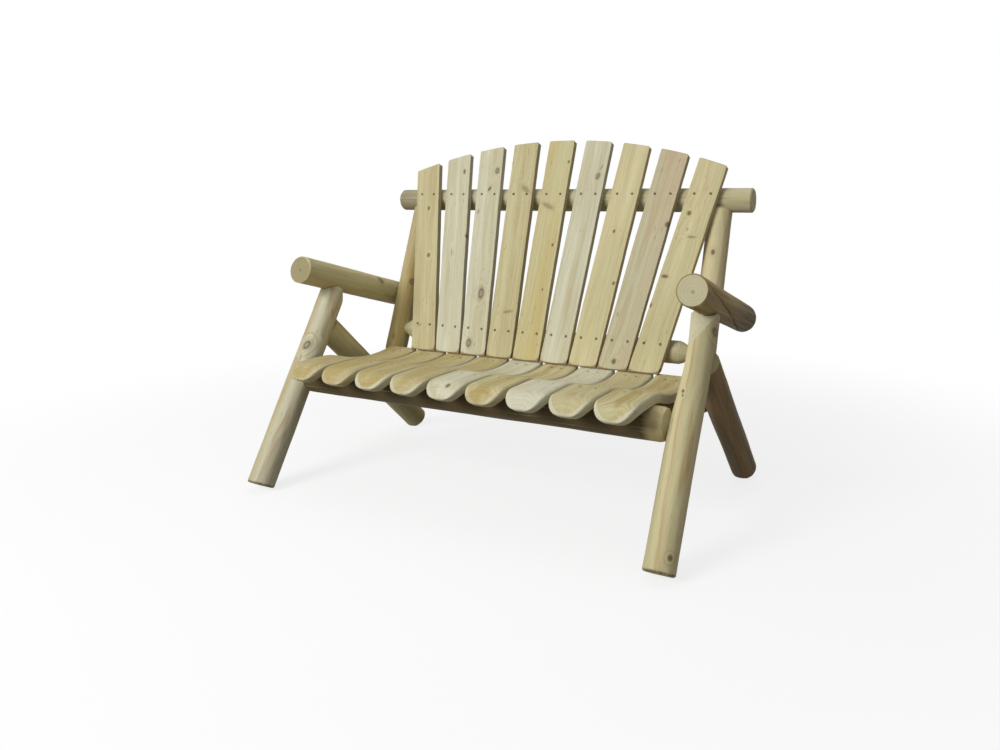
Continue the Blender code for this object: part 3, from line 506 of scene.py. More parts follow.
def cedar(name, place, seed, woods, pith, spacing, knots=(), late=0.3, log=False, edge=None,
          ends=("grey", "olive"), stain=None):
    """White cedar, peeled or sawn, from the piece's own frame.

    Growth rings are circles round a pith that wanders along the grain: the distance from it, divided
    by the spacing, rises and is cut off once a ring, which gives the slow darkening and the sharp
    dark line of latewood. On a sawn board the same rings run out as long flames. Two wood colours
    lie in long bands, stretched noise gives fibres, and each knot pushes the rings aside. An edge
    (colour, share at the outline, share on an end, width) tints the wood where a board is rounded over
    or a log is cut: paler where the saw and the weather left it so, partly a painted highlight on the
    seat boards' rims, and brown painted shade on the back boards' edges and lower ends. A browning
    (first, last, share) browns a log between two distances along it, as weathered wood at some ends and
    as painted shade where a log lies in shade. Only a log has its sawn ends drawn.
    """
    made, tree, shader, where = new_material(name)
    own = add(tree, "Mapping", {"Vector": where, "Location": place.translation,
                                "Rotation": place.to_euler()}, vector_type="TEXTURE")
    shifted = add(tree, "VectorMath", {0: own, 1: (seed * 3.71, seed * 1.93, seed * 7.17)})

    def grain(scale, detail, roughness=0.5, out=0):
        """Noise in a space stretched along the grain."""
        stretched = add(tree, "Mapping", {"Vector": shifted, "Scale": scale}, vector_type="POINT")
        return add(tree, "TexNoise", {"Vector": stretched, "Scale": 1.0, "Detail": detail,
                                      "Roughness": roughness}, out)

    # Slow wandering of the grain: 60 mm across against 400 mm along
    drift = grain((16, 16, 2.4), 2.0, 0.45, "Color")
    drift = add(tree, "VectorMath", {0: drift, 1: (0.5, 0.5, 0.5)}, operation="SUBTRACT")
    reach = 0.008 if log else 0.020
    drift = add(tree, "VectorMath", {0: drift, 1: (reach, reach, 0)}, operation="MULTIPLY")
    bent = add(tree, "VectorMath", {0: own, 1: drift})
    section = add(tree, "VectorMath", {0: bent, 1: (1, 1, 0)}, operation="MULTIPLY")
    distance = add(tree, "VectorMath", {0: section, 1: (*pith, 0)}, "Value", operation="DISTANCE")
    distance, knot_mask = knotted(tree, bent, distance, knots)

    # Rings: narrow and wide years come from a slow noise along the distance
    years = add(tree, "TexNoise", {"W": distance, "Scale": 90.0, "Detail": 1.0}, noise_dimensions="1D")
    rings = add(tree, "ValToRGB", {"Fac": ring_part(tree, distance, years, spacing, seed * 0.37, 2.2)},
                stops=[(0.0, 0.35), (0.12, 0.0), (0.45, 0.12), (0.75, 0.5), (0.90, 1.0), (1.0, 0.6)])

    # Fibres: 0.9 mm across against 40 mm along, drawn a little coarser than real ones so that they show
    fibre = grain((900, 900, 24), 3.0, 0.6)
    streak = grain((170, 170, 4.5), 3.0)

    # Bands: 35 mm across against 600 mm along
    broad = grain((28, 28, 1.7), 3.0)
    band = add(tree, "MapRange", {"Value": broad, 1: 0.38, 2: 0.62}, interpolation_type="SMOOTHSTEP")
    toned = add(tree, "Mix", {0: band, 6: wood(woods[0]), 7: wood(woods[1])}, 2, data_type="RGBA")
    ring_share = add(tree, "Math", {0: rings, 1: streak}, operation="MULTIPLY")
    ring_share = add(tree, "Math", {0: ring_share, 1: late * 1.6}, operation="MULTIPLY")
    toned = add(tree, "Mix", {0: ring_share, 6: toned, 7: wood("late_wood")}, 2, data_type="RGBA")
    # Edge tint: paler wood where boards are worn and logs are cut, partly a painted highlight on the seat
    # boards' rims, and painted shade in brown on the back boards' edges and lower ends
    if edge:
        colour, outline, end_grain, width = edge
        way = add(tree, "Attribute", out="Fac", attribute_name="edge_way")
        way = add(tree, "MapRange", {"Value": way, 1: -width, 2: width})
        worn = add(tree, "ValToRGB", {"Fac": way},
                   stops=[(0.0, end_grain), (0.46, end_grain), (0.5, outline), (0.7, outline), (1.0, 0.0)])
        toned = add(tree, "Mix", {0: worn, 6: toned, 7: wood(colour)}, 2, data_type="RGBA")
    # Browning along a log: weathered wood at some ends, and painted shade on the spans of a log that lie in
    # shade
    if stain:
        along = add(tree, "SeparateXYZ", {0: bent}, 2)
        browned = add(tree, "MapRange", {"Value": along, 1: stain[0], 2: stain[1], 4: stain[2] * 2},
                      interpolation_type="SMOOTHSTEP")
        browned = add(tree, "Math", {0: browned, 1: streak}, operation="MULTIPLY", use_clamp=True)
        toned = add(tree, "Mix", {0: browned, 6: toned, 7: wood("umber")}, 2, data_type="RGBA")
    fibre_tone = add(tree, "MapRange", {"Value": fibre, 1: 0.3, 2: 0.7, 3: 0.90, 4: 1.06})
    streak_tone = add(tree, "MapRange", {"Value": streak, 1: 0.3, 2: 0.7, 3: 0.93, 4: 1.05})
    tone = add(tree, "Math", {0: fibre_tone, 1: streak_tone}, operation="MULTIPLY")
    toned = add(tree, "VectorMath", {0: toned, "Scale": tone}, operation="SCALE")

    # Short brown flecks 2 mm across and 15 mm long
    fleck = add(tree, "MapRange", {"Value": grain((260, 260, 34), 1.0), 1: 0.70, 2: 0.78, 4: 0.45})
    if knot_mask:
        core = add(tree, "Math", {0: knot_mask, 1: 0.88}, operation="MULTIPLY")
        fleck = add(tree, "Math", {0: fleck, 1: core}, operation="MAXIMUM")
    toned = add(tree, "Mix", {0: fleck, 6: toned, 7: wood("knot")}, 2, data_type="RGBA")
    if log:
        # The rings on the ends lie about 5 mm apart
        year = ring_part(tree, distance, years, 0.0048, seed, 3.0)
        toned = with_sawn_ends(tree, toned, place, ends, distance, year, broad)
    rough = add(tree, "MapRange", {"Value": streak, 1: 0.3, 2: 0.7, 3: 0.60, 4: 0.82})
    relief = add(tree, "Math", {0: fibre, 1: 0.5, 2: rings}, operation="MULTIPLY_ADD")
    bump = add(tree, "Bump", {"Height": relief, "Strength": 0.30, "Distance": 0.0004})
    for key, value in (("Base Color", toned), ("Roughness", rough), ("Normal", bump)):
        tree.links.new(value, shader.inputs[key])
    shader.inputs["Specular IOR Level"].default_value = 0.28
    return made


def plated_steel(name, colour, rough):
    """Plated steel: a soft spangle a few millimetres wide and brown specks where damp wood touched it."""
    made, tree, shader, where = new_material(name)
    finish = bpy.context.scene.bench_finish
    spangle = add(tree, "TexVoronoi", {"Vector": where, "Scale": 420.0}, "Color")
    grey = add(tree, "SeparateColor", {0: spangle})
    tone = add(tree, "MapRange", {"Value": grey, 3: 0.78, 4: 1.12})
    shade = add(tree, "VectorMath", {0: tuple(getattr(finish, colour)), "Scale": tone}, operation="SCALE")
    specks = add(tree, "TexNoise", {"Vector": where, "Scale": 650.0, "Detail": 3.0})
    rusty = add(tree, "MapRange", {"Value": specks, 1: 0.58, 2: 0.68, 4: 0.7})
    shade = add(tree, "Mix", {0: rusty, 6: shade, 7: (*finish.rust, 1)}, 2, data_type="RGBA")
    roughness = add(tree, "MapRange", {"Value": specks, 1: 0.3, 2: 0.7, 3: rough, 4: rough + 0.22})
    metal = add(tree, "MapRange", {"Value": rusty, 1: 0.0, 2: 0.7, 3: 1.0, 4: 0.15})
    bump = add(tree, "Bump", {"Height": specks, "Strength": 0.25, "Distance": 0.0002})
    for key, value in (("Base Color", shade), ("Roughness", roughness), ("Metallic", metal),
                       ("Normal", bump)):
        tree.links.new(value, shader.inputs[key])
    return made


# Where the logs' middle lines end in the side plane, and the shapes of their ends
LEG_FOOT = Vector((0, -0.35014, 0.01482))
LEG_ARM_SEAT = Vector((0, -0.04183, 0.52794))
LEG_HORN = 0.0110
LEG_TAPER = 0.0080
REAR_FOOT = Vector((0, 0.35759, 0.02231))
REAR_TOP = Vector((0, -0.06922, 0.42003))
REAR_LEG_CHAMFER = 0.0002
ARM_FRONT_Y = -0.16745
ARM_FRONT_Z = 0.6044
POST_IN = 0.0550
POST_TAIL = 0.07460
POST_TAIL_RADIUS = 0.0254
POST_TAPER = 0.0100
POST_HORN = 0.0100
UPPER_RAIL_UP = 0.52445
LOWER_SCREWS_UP = 0.0848
SHOULDER = 0.0185
FRONT_SHOULDER = 0.0340
TENON = 0.0152
TENON_LENGTH = 0.0300

# Gap between two pieces that bear on each other, and level of the stage's floor just under the feet
FIT = 0.0003
FLOOR_LEVEL = -0.0004

# Slope of the seat boards over the rear rail, and of the back boards' lower ends, which are cut along
# the seat boards' rear: the back's lean and the 12.3 degrees by which the boards rise there
SEAT_RISE = radians(8.3)
BACK_BEVEL = tan(radians(20.7 + 12.326))

# Browner wood at a foot's lower end: between two distances along the leg, and its share
FOOT_BROWNING = (0.008, 0.001, 0.8)

# Shares of a board's width from its middle to its screws, and the pit round a sunk head
BACK_SCREW_SHARE = 0.27
FRONT_SCREW_SHARE = 0.185
REAR_SCREW_SHARE = 0.14
PIT_RADIUS = 0.0044
PIT_SLOPE = 0.0008
PIT_EXTRA = 0.0007

# Depth of the cross recess and points round a screw
RECESS = 0.0017
SCREW_COLUMNS = 16

# Rows and columns of the boards: those round a screw, the least gap, the first one past a rounded end,
# and the place up a back board where the rows no longer follow its bevelled end
NEAR_SCREW = np.linspace(-0.0070, 0.0070, 15)
LEAST_GAP = 0.0003
END_ROW = 0.012
LEVEL_AT = 0.08

# Rounding of a seat board's lower edges, tip and rear end
SEAT_UNDER_EDGE = 0.0022
SEAT_TIP_ROUND = 0.0045
SEAT_REAR_ROUND = 0.0016

# Each front leg's shaves, scoop, knots, two woods and worn edge; places are distances below its top
FRONT_LEG_LOOKS = {
    "left": (((44, 0.045, 0.0, 0.012), (-100, 0.030, 0.0, 0.006)), None,
             ((0.0113, -0.0364, 0.4078, 0.0090, 15, 1.5), (0.0061, -0.0376, 0.3680, 0.0022, 0, 4.0)),
             ("grey", "cream"), None),
    "right": (((-163, 0.340, 0.130, 0.012),), (-168, -14, 0.158, 0.002),
              ((0.0370, -0.0080, 0.5560, 0.0070, 0, 1.4), (-0.0073, -0.0374, 0.3964, 0.0030, 0, 1.2),
               (-0.0060, -0.0374, 0.3860, 0.0022, 0, 1.2), (0.0268, -0.0271, 0.0354, 0.0040, 0, 1.5)),
              ("blond", "straw"), ("cream", 0.3, 0.6, 1.0)),
}

# The right rear leg's umber and brown woods are painted shade, darker than the left leg's own straw and amber
REAR_LEG_WOODS_AND_SHADE = {"left": ("straw", "amber"), "right": ("umber", "brown")}

# Each arm's check, knots, two woods, two end woods and browning; on the right arm the olive and brown woods
# and the brown far end are partly weathered wood and partly painted shade
ARM_LOOKS = {
    "left": ((2.8, 0.06, 0.30, 0.0014, 0.03, 0.9), ((0.0302, -0.0271, 0.3223, 0.0080, 20, 1.3),),
             ("blond", "straw"), ("moss", "brown"), (0.34, 0.52, 0.12)),
    "right": ((-0.25, 0.02, 0.50, 0.0060, 0.035, 4.1), (), ("olive", "brown"),
              ("grey", "olive"), (0.14, 0.48, 1.0)),
}

# Each post's knots and two woods
POST_LOOKS = {
    "left": (((0.0277, -0.0224, 0.3030, 0.0080, 0, 1.2), (0.0049, -0.0353, 0.1136, 0.0050, 0, 2.0)),
             ("tan", "olive")),
    "right": (((0.0029, -0.0355, 0.4336, 0.0050, 0, 1.4),), ("blond", "blond")),
}

# Each back board's two woods, pith, ring spacing, share of latewood and knots
BACK_LOOKS = (
    (("straw", "tan"), (0.012, 0.060), 0.0050, 0.30,
     ((0.007, 0, 0.483, 0.0040, 0, 1.5), (0.011, 0, 0.317, 0.0050, 0, 1.3),
      (-0.013, 0, 0.085, 0.0025, 60, 2.5))),
    (("cream", "grey"), (-0.010, 0.055), 0.0044, 0.22,
     ((0.022, 0, 0.607, 0.0045, 0, 1.8), (0.041, 0, 0.380, 0.0040, 0, 1.5),
      (-0.008, 0, 0.330, 0.0025, 0, 5.0))),
    (("grey", "cream"), (0.008, 0.050), 0.0046, 0.30,
     ((0.026, 0, 0.605, 0.0080, 0, 1.2), (0.002, 0, 0.545, 0.0045, 30, 1.8),
      (0.008, 0, 0.196, 0.0095, 0, 1.8), (-0.017, 0, 0.040, 0.0085, 0, 1.5),
      (-0.030, 0, 0.470, 0.0035, 0, 2.0))),
    (("tan", "straw"), (-0.014, 0.065), 0.0050, 0.30,
     ((0.019, 0, 0.540, 0.0075, -50, 2.2), (0.015, 0, 0.144, 0.0040, 80, 3.4))),
    (("straw", "honey"), (0.006, 0.060), 0.0048, 0.28,
     ((-0.010, 0, 0.485, 0.0068, -65, 3.0), (0.028, 0, 0.360, 0.0030, 0, 1.5),
      (0.036, 0, 0.630, 0.0030, 0, 1.5), (0.020, 0, 0.220, 0.0025, 0, 1.5))),
    (("grey", "cream"), (-0.004, 0.050), 0.0046, 0.28,
     ((0.022, 0, 0.583, 0.0070, 25, 1.4), (0.030, 0, 0.610, 0.0025, 25, 4.0))),
    (("blond", "straw"), (0.010, 0.058), 0.0054, 0.32,
     ((-0.006, 0, 0.409, 0.0040, 0, 1.2), (0.035, 0, 0.255, 0.0040, 0, 1.2))),
    (("rose", "grey"), (-0.012, 0.055), 0.0040, 0.36,
     ((0.041, 0, 0.442, 0.0065, 0, 1.2), (-0.001, 0, 0.026, 0.0065, 0, 1.1))),
    (("blond", "straw"), (0.004, 0.060), 0.0050, 0.30,
     ((-0.017, 0, 0.471, 0.0045, 0, 1.4), (0.012, 0, 0.405, 0.0035, 80, 3.4),
      (-0.024, 0, 0.278, 0.0045, 80, 1.8), (-0.040, 0, 0.189, 0.0040, 0, 1.5))),
)

# Each seat board's two woods, pith, ring spacing, share of latewood, paleness of its edge rim, which is
# partly worn wood and partly a painted highlight, and knots
SEAT_LOOKS = (
    (("amber", "tan"), (0.004, 0.030), 0.0052, 0.55, 0.25, ()),
    (("amber", "tan"), (-0.006, 0.026), 0.0050, 0.52, 0.25, ()),
    (("tan", "amber"), (0.010, 0.032), 0.0054, 0.50, 0.70, ()),
    (("amber", "tan"), (-0.004, 0.028), 0.0052, 0.50, 0.55, ()),
    (("cream", "grey"), (0.006, 0.030), 0.0048, 0.20, 0.60, ((0.009, -0.0606, -0.2937, 0.0050, 0, 1.3),)),
    (("straw", "amber"), (-0.008, 0.030), 0.0052, 0.50, 0.30, ((0.010, -0.0620, -0.190, 0.0030, 0, 1.5),)),
    (("cream", "cream"), (0.004, 0.034), 0.0056, 0.30, 0.90, ()),
    (("tan", "straw"), (-0.004, 0.028), 0.0052, 0.52, 0.70, ()),
    (("amber", "straw"), (0.002, 0.030), 0.0054, 0.60, 0.75, ()),
)


def lean(angle):
    """Direction in the side plane that leans back from upright by an angle."""
    return Vector((0, sin(angle), cos(angle)))


def fall(angle):
    """Direction in the side plane that points back and falls by an angle."""
    return Vector((0, cos(angle), -sin(angle)))


def box_middle(node):
    """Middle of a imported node's box."""
    low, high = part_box(node)
    return (low + high) / 2


def on_back(x, up, inward):
    """Point measured up the back and in behind the boards' front faces, at a given X."""
    boards = bpy.context.scene.bench_boards
    low = Vector((x, boards.back_low_y, boards.back_low_z))
    return low + lean(boards.back_lean) * up + fall(boards.back_lean) * inward


def make_log(name, place, length, radius, limit, caps, seeds, woods, pith, spacing, check, shaves=(),
             scoop=None, **looks):
    """Make one log and its cedar: one seed is its shape's and one its grain's, and looks go on to cedar."""
    points = log_surface(length, limit, caps, radius, seeds[0], check, shaves, scoop)
    surface = cedar("peeled_cedar_" + name, place, seeds[1], woods, pith, spacing, log=True, **looks)
    add_log(name, place, points, surface)


class BENCH_OT_legs(bpy.types.Operator):
    """Make the four legs: leaning logs with trimmed feet, the front pair hollowed for the arms"""

    bl_idname = "bench.legs"
    bl_label = "Legs"

    def execute(self, context):
        logs = context.scene.bench_logs
        radius = logs.leg_radius
        up = lean(logs.front_lean)
        for seed, side in enumerate(SIDES):
            across = Vector((box_middle(f"front_leg_{side}").x, 0, 0))
            foot, top = LEG_FOOT + across, LEG_ARM_SEAT + across + up * LEG_HORN
            place = side_frame(foot, up)
            length = (top - foot).length
            arm = (box_middle(f"arm_{side}").x, ARM_FRONT_Y, ARM_FRONT_Z)
            cope = coped_end(length, place, arm, fall(logs.arm_slope), logs.arm_radius + FIT)
            shaves, scoop, knots, woods, edge = FRONT_LEG_LOOKS[side]
            shaves = [(radians(facing), length - start, length - deepest, depth)
                      for facing, start, deepest, depth in shaves]
            if scoop:
                scoop = (radians(scoop[0]), radians(scoop[1]), length - scoop[2], length - scoop[3])
            make_log(f"front_leg_{side}", place, length, radius,
                     sawn(length, radius, logs.end_chamfer, LEG_TAPER), (flat_end(0.0), cope),
                     (11 + seed, 1.0 + seed), woods, (0.004, -0.003), 0.0034,
                     (1.9, 0.03, 0.32, 0.0016, 0.03, 0.5), shaves, scoop, knots=knots, late=0.6, edge=edge,
                     stain=FOOT_BROWNING)

            across = Vector((box_middle(f"rear_leg_{side}").x, 0, 0))
            foot, top = REAR_FOOT + across, REAR_TOP + across
            length = (top - foot).length
            make_log(f"rear_leg_{side}", side_frame(foot, top - foot), length, radius,
                     sawn(length, radius, logs.end_chamfer, REAR_LEG_CHAMFER),
                     (flat_end(0.0), flat_end(length)), (21 + seed, 3.0 + seed), REAR_LEG_WOODS_AND_SHADE[side],
                     (-0.003, 0.004), 0.0030,
                     (1.9, 0.05, 0.40, 0.0018, 0.03, -0.4), ends=("straw", "tan"), stain=FOOT_BROWNING)
        return {"FINISHED"}


class BENCH_OT_arms(bpy.types.Operator):
    """Make the two arm logs, sawn square and bevelled at both ends"""

    bl_idname = "bench.arms"
    bl_label = "Arms"

    def execute(self, context):
        logs = context.scene.bench_logs
        length, radius, chamfer = logs.arm_length, logs.arm_radius, logs.end_chamfer
        for seed, side in enumerate(SIDES):
            place = side_frame((box_middle(f"arm_{side}").x, ARM_FRONT_Y, ARM_FRONT_Z), fall(logs.arm_slope))
            check, knots, woods, ends, stain = ARM_LOOKS[side]
            make_log(f"arm_{side}", place, length, radius, sawn(length, radius, chamfer, chamfer),
                     (flat_end(0.0), flat_end(length)), (31 + seed, 5.0 + seed), woods, (0.002, 0.003),
                     0.0030, check, knots=knots, late=0.35, ends=ends, stain=stain)
        return {"FINISHED"}


class BENCH_OT_posts(bpy.types.Operator):
    """Make the two back posts: hollowed under the upper rail, with a slimmer tail behind the rear rail"""

    bl_idname = "bench.posts"
    bl_label = "Back posts"

    def execute(self, context):
        logs = context.scene.bench_logs
        boards = context.scene.bench_boards
        radius, chamfer = logs.post_radius, logs.end_chamfer
        length = POST_TAIL + UPPER_RAIL_UP - logs.upper_rail_radius + POST_HORN
        shoulder = POST_TAIL - (radius - POST_TAIL_RADIUS)

        def limit(z):
            """Tail radius below the shoulder, a cone up to the full radius, a bevel at each end."""
            tail = np.clip(POST_TAIL_RADIUS + (z - shoulder), POST_TAIL_RADIUS, radius)
            bevel = np.minimum(tail, POST_TAIL_RADIUS - chamfer + np.maximum(z, 0))
            return np.minimum(np.where(z < chamfer, bevel, tail), radius - POST_TAPER + (length - z))

        rail = on_back(0, UPPER_RAIL_UP, boards.back_thickness + FIT + logs.upper_rail_radius)
        for seed, side in enumerate(SIDES):
            foot = on_back(box_middle(f"back_post_{side}").x, -POST_TAIL, POST_IN)
            place = side_frame(foot, lean(boards.back_lean))
            cope = coped_end(length, place, rail, (1, 0, 0), logs.upper_rail_radius + FIT)
            knots, woods = POST_LOOKS[side]
            make_log(f"back_post_{side}", place, length, radius, limit, (flat_end(0.0), cope),
                     (41 + seed, 7.0 + seed), woods, (0.003, 0.002), 0.0032,
                     (1.2, 0.12, 0.45, 0.0016, 0.03, 0.3), knots=knots, late=0.35, stain=(0.09, 0.0, 0.45))
        return {"FINISHED"}


class BENCH_OT_rails(bpy.types.Operator):
    """Make the four rails: the upper one sawn square, the others coned down to round tenons"""

    bl_idname = "bench.rails"
    bl_label = "Rails"

    def execute(self, context):
        logs = context.scene.bench_logs
        # Painted shade: the upper rail's browned left end, the front rail's umber span under the seat boards
        # and the rear rail's umber and brown woods; the front rail's right end keeps its own blond and honey
        rails = (("upper_back_rail", logs.upper_rail_radius, 0.0, 0.0, ("grey", "tan"), (0.24, 0.0, 0.55)),
                 ("lower_back_rail", logs.lower_rail_radius, SHOULDER, 0.55, ("straw", "grey"), None),
                 ("front_seat_rail", logs.front_rail_radius, FRONT_SHOULDER, 1.0, ("blond", "honey"),
                  (1.102, 1.064, 1.3)),
                 ("rear_seat_rail", logs.rear_rail_radius, SHOULDER, 0.55, ("umber", "brown"), None))
        for number, (name, radius, shoulder, taper, woods, stain) in enumerate(rails):
            low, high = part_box(name)
            middle = (low + high) / 2
            length = high.x - low.x
            place = side_frame((low.x, middle.y, middle.z), (1, 0, 0))
            if shoulder:
                limit = coned(length, radius, shoulder, taper)
                seeds, pith, spacing, late = (60 + number, 9.0 + number), (0.003, 0.003), 0.0032, 0.35
                check = (number, 0.25, 0.80, 0.0016, 0.03, 0.2)
            else:
                limit = sawn(length, radius, logs.end_chamfer, logs.end_chamfer)
                seeds, pith, spacing, late = (51, 9.0), (0.002, -0.002), 0.0030, 0.2
                check = (2.9, 0.75, 1.20, 0.0018, 0.03, 0.2)
            make_log(name, place, length, radius, limit, (flat_end(0.0), flat_end(length)), seeds, woods,
                     pith, spacing, check, late=late, stain=stain)
        return {"FINISHED"}


def thinned(places):
    """The places in order, without those that follow too closely on another."""
    places = np.unique(places)
    return places[np.concatenate([[True], np.diff(places) > LEAST_GAP])]


def across_places(half, edge, screws):
    """Places across a board, from edge to edge: close together on the rounded edges and at the screws."""
    outer = half - edge + edge * np.sin(np.linspace(0, pi / 2, 7))[:-1]
    plain = np.linspace(0, half - edge, 15)[:-1]
    side = thinned(np.round(np.concatenate([plain, outer, *(at + NEAR_SCREW for at in screws)]), 7))
    side = side[side < half - HAIR]
    return np.concatenate([[-half], -side[:0:-1], [0.0], side[1:], [half]])


def looped(face, back):
    """Values round a board's section: across one face, then back across the other without its two ends."""
    return np.concatenate([face, back[-2:0:-1]])


def edge_drop(places, half, edge):
    """Fall of a face towards a rounded edge: the sagitta of a quarter circle."""
    inside = np.clip(np.abs(places) - (half - edge), 0, edge)
    return edge - np.sqrt(np.maximum(edge ** 2 - inside ** 2, 0))


def end_rounding(count):
    """Inset and advance of the rows over an end rounded by a quarter circle of radius 1."""
    quarter = np.linspace(0, pi / 2, count)
    return 1 - np.sin(quarter), 1 - np.cos(quarter)


def wavered(across, half, waver):
    """Places across a board, drawn in by a wavering distance at its edges and hardly at all inside them."""
    return across - np.sign(across) * np.clip(np.abs(across) / half, 0, 1) ** 3 * waver


def dimples(across, along, screws):
    """Depth of the small pits that the sunk screw heads leave: flat in the middle, then a short slope."""
    depth = bpy.context.scene.bench_screws.sink + PIT_EXTRA
    total = np.zeros(np.broadcast(across, along).shape)
    for at_across, at_along in screws:
        far = np.hypot(across - at_across, along - at_along)
        total = np.maximum(total, depth * np.clip((PIT_RADIUS - far) / PIT_SLOPE, 0, 1))
    return total


def board_faces(rows, half_count):
    """Faces of a board whose loop has half_count points on the face and the same places on the back."""
    columns = 2 * half_count - 2
    face = np.arange(half_count)
    back = (columns - face) % columns
    quads = [grid_faces(rows, columns)]
    triangles = []
    for first, flip in ((0, True), ((rows - 1) * columns, False)):
        strip = np.stack([face[1:-2], face[2:-1], back[2:-1], back[1:-2]], axis=-1) + first
        tips = np.array([[0, 1, back[1]], [face[-2], face[-1], back[-2]]]) + first
        quads.append(strip[:, ::-1] if flip else strip)
        triangles.append(tips[:, ::-1] if flip else tips)
    return [np.concatenate(quads), np.concatenate(triangles)]


class BENCH_OT_back_boards(bpy.types.Operator):
    """Make the nine fanned back boards: flat, round-edged, their tops on one arc, with pits at the screws"""

    bl_idname = "bench.back_boards"
    bl_label = "Back boards"

    def execute(self, context):
        boards = context.scene.bench_boards
        for index in range(boards.count):
            self.make_board(boards, index)
        return {"FINISHED"}

    def make_board(self, boards, index):
        """One board as rows from its bevelled lower end to its top, each a loop over face and back."""
        half, thick = boards.back_width / 2, boards.back_thickness
        number = index - (boards.count - 1) / 2
        tilt = np.arctan(number * (boards.high_pitch - boards.low_pitch) / UPPER_RAIL_UP)
        low_x = number * boards.low_pitch
        screw = boards.back_width * BACK_SCREW_SHARE
        screws = [(sign * screw * cos(tilt), up / cos(tilt) + sign * screw * sin(tilt))
                  for sign in (-1, 1) for up in (LOWER_SCREWS_UP, UPPER_RAIL_UP)]
        across = across_places(half, boards.back_edge, [screw])
        drop = edge_drop(across, half, boards.back_edge)
        loop_across = looped(across, across)
        loop_depth = looped(np.where(np.abs(across) > half - HAIR, thick / 2, drop), thick - drop)

        # The top follows one arc over the whole back, less the rounded corners
        top = np.full_like(loop_across, boards.back_length)
        for _ in range(30):
            x = low_x + loop_across * cos(tilt) + top * sin(tilt)
            up = boards.back_length - boards.top_radius + np.sqrt(boards.top_radius ** 2 - x ** 2)
            top = (up + loop_across * sin(tilt)) / cos(tilt)
        top = top - edge_drop(loop_across, half, boards.corner_radius)

        plain = np.linspace(END_ROW, 0.95 * boards.back_length, 64)
        rows = thinned(np.concatenate([plain, *(at + NEAR_SCREW for _, at in screws)]))
        rows = rows[(rows > END_ROW) & (rows < top.min() - END_ROW)]
        inset, rise = end_rounding(5)

        # The lower front edge is rounded over more than the others
        front = loop_depth < thick / 2
        low_round = np.where(front, boards.low_edge, boards.back_edge)
        low = loop_across * tan(tilt) + loop_depth * BACK_BEVEL / cos(tilt)
        low = low + np.where(front, boards.low_edge * BACK_BEVEL / cos(tilt), 0)
        ahead = np.clip(rows / LEVEL_AT, 0, 1)[:, None]
        along = np.concatenate([low + low_round * rise[:, None], rows[:, None] + low * (1 - ahead),
                                top - boards.back_edge * rise[::-1, None]])
        shrink = boards.back_edge * np.concatenate([inset, 0 * rows, inset[::-1]])[:, None]
        narrow = boards.back_edge * np.concatenate([0 * inset, 0 * rows, inset[::-1] / 2])[:, None]
        thin = np.repeat(shrink, len(loop_depth), axis=1)
        thin[:len(inset)] = low_round * inset[:, None]
        waver = 0.0005 + wave(along, 300 + index, (0.31, 0.13, 0.05), (0.00028, 0.00014, 0.00008))
        a = wavered(loop_across * (1 - narrow / half), half, waver)
        d = thick / 2 + (loop_depth - thick / 2) * (1 - thin / (thick / 2))
        hollow = 0.0004 * (1 - (a / half) ** 2) + 0.0003 * (1 + np.sin(along * 9 + index)) / 2
        sunk = hollow * (1 - shrink / boards.back_edge) + dimples(a, along, screws)
        d = np.where(d < thick / 2, d + sunk, d)
        # Distance in from the outline; the lower end's rows are marked for a painted shadow band
        way = np.minimum(half - np.abs(loop_across), top - along)
        way[:len(inset)] = -boards.low_edge

        turn = Matrix.Rotation(-boards.back_lean, 4, "X") @ Matrix.Rotation(tilt, 4, "Y")
        place = Matrix.Translation(on_back(low_x, 0, 0)) @ turn
        points = np.stack([a, d, along], axis=-1).reshape(-1, 3)
        points = points @ np.array(place.to_3x3()).T + np.array(place.translation)
        name = f"back_slat_{index + 1}"
        woods, pith, spacing, late, knots = BACK_LOOKS[index]
        # Painted shade: light brown along the rounded edges, and a dark brown band on the lower end for the
        # shadow where the boards meet the seat
        surface = cedar(f"sawn_cedar_{name}", place, 20.0 + index, woods, pith, spacing, knots, late,
                        edge=("brown", 0.22, 0.9, 0.0022))
        put_mesh(name + "_cedar", points, board_faces(len(along), len(across)), [name], surface, way)


def seat_path():
    """The seat boards' underside from tip to rear, as a heading that changes evenly along each stretch.

    Returns the break points of the distance and of the heading, and the distances at which the
    board crosses the front rail and the rear rail.
    """
    drop, nose, turn = 0.0040, 0.0318, radians(66)
    flat, crest, slope = 0.0850, 0.1660, radians(16.2)
    run, dish, rise, tail = 0.0294, 0.4838106, SEAT_RISE, 0.0340
    lengths = np.array([drop, nose * turn, flat, crest * slope, run, dish * (slope + rise), tail])
    places = np.concatenate([[0], np.cumsum(lengths)])
    headings = np.array([turn, turn, 0, 0, -slope, -slope, rise, rise + tail / dish])
    return places, headings, places[3], places[6]


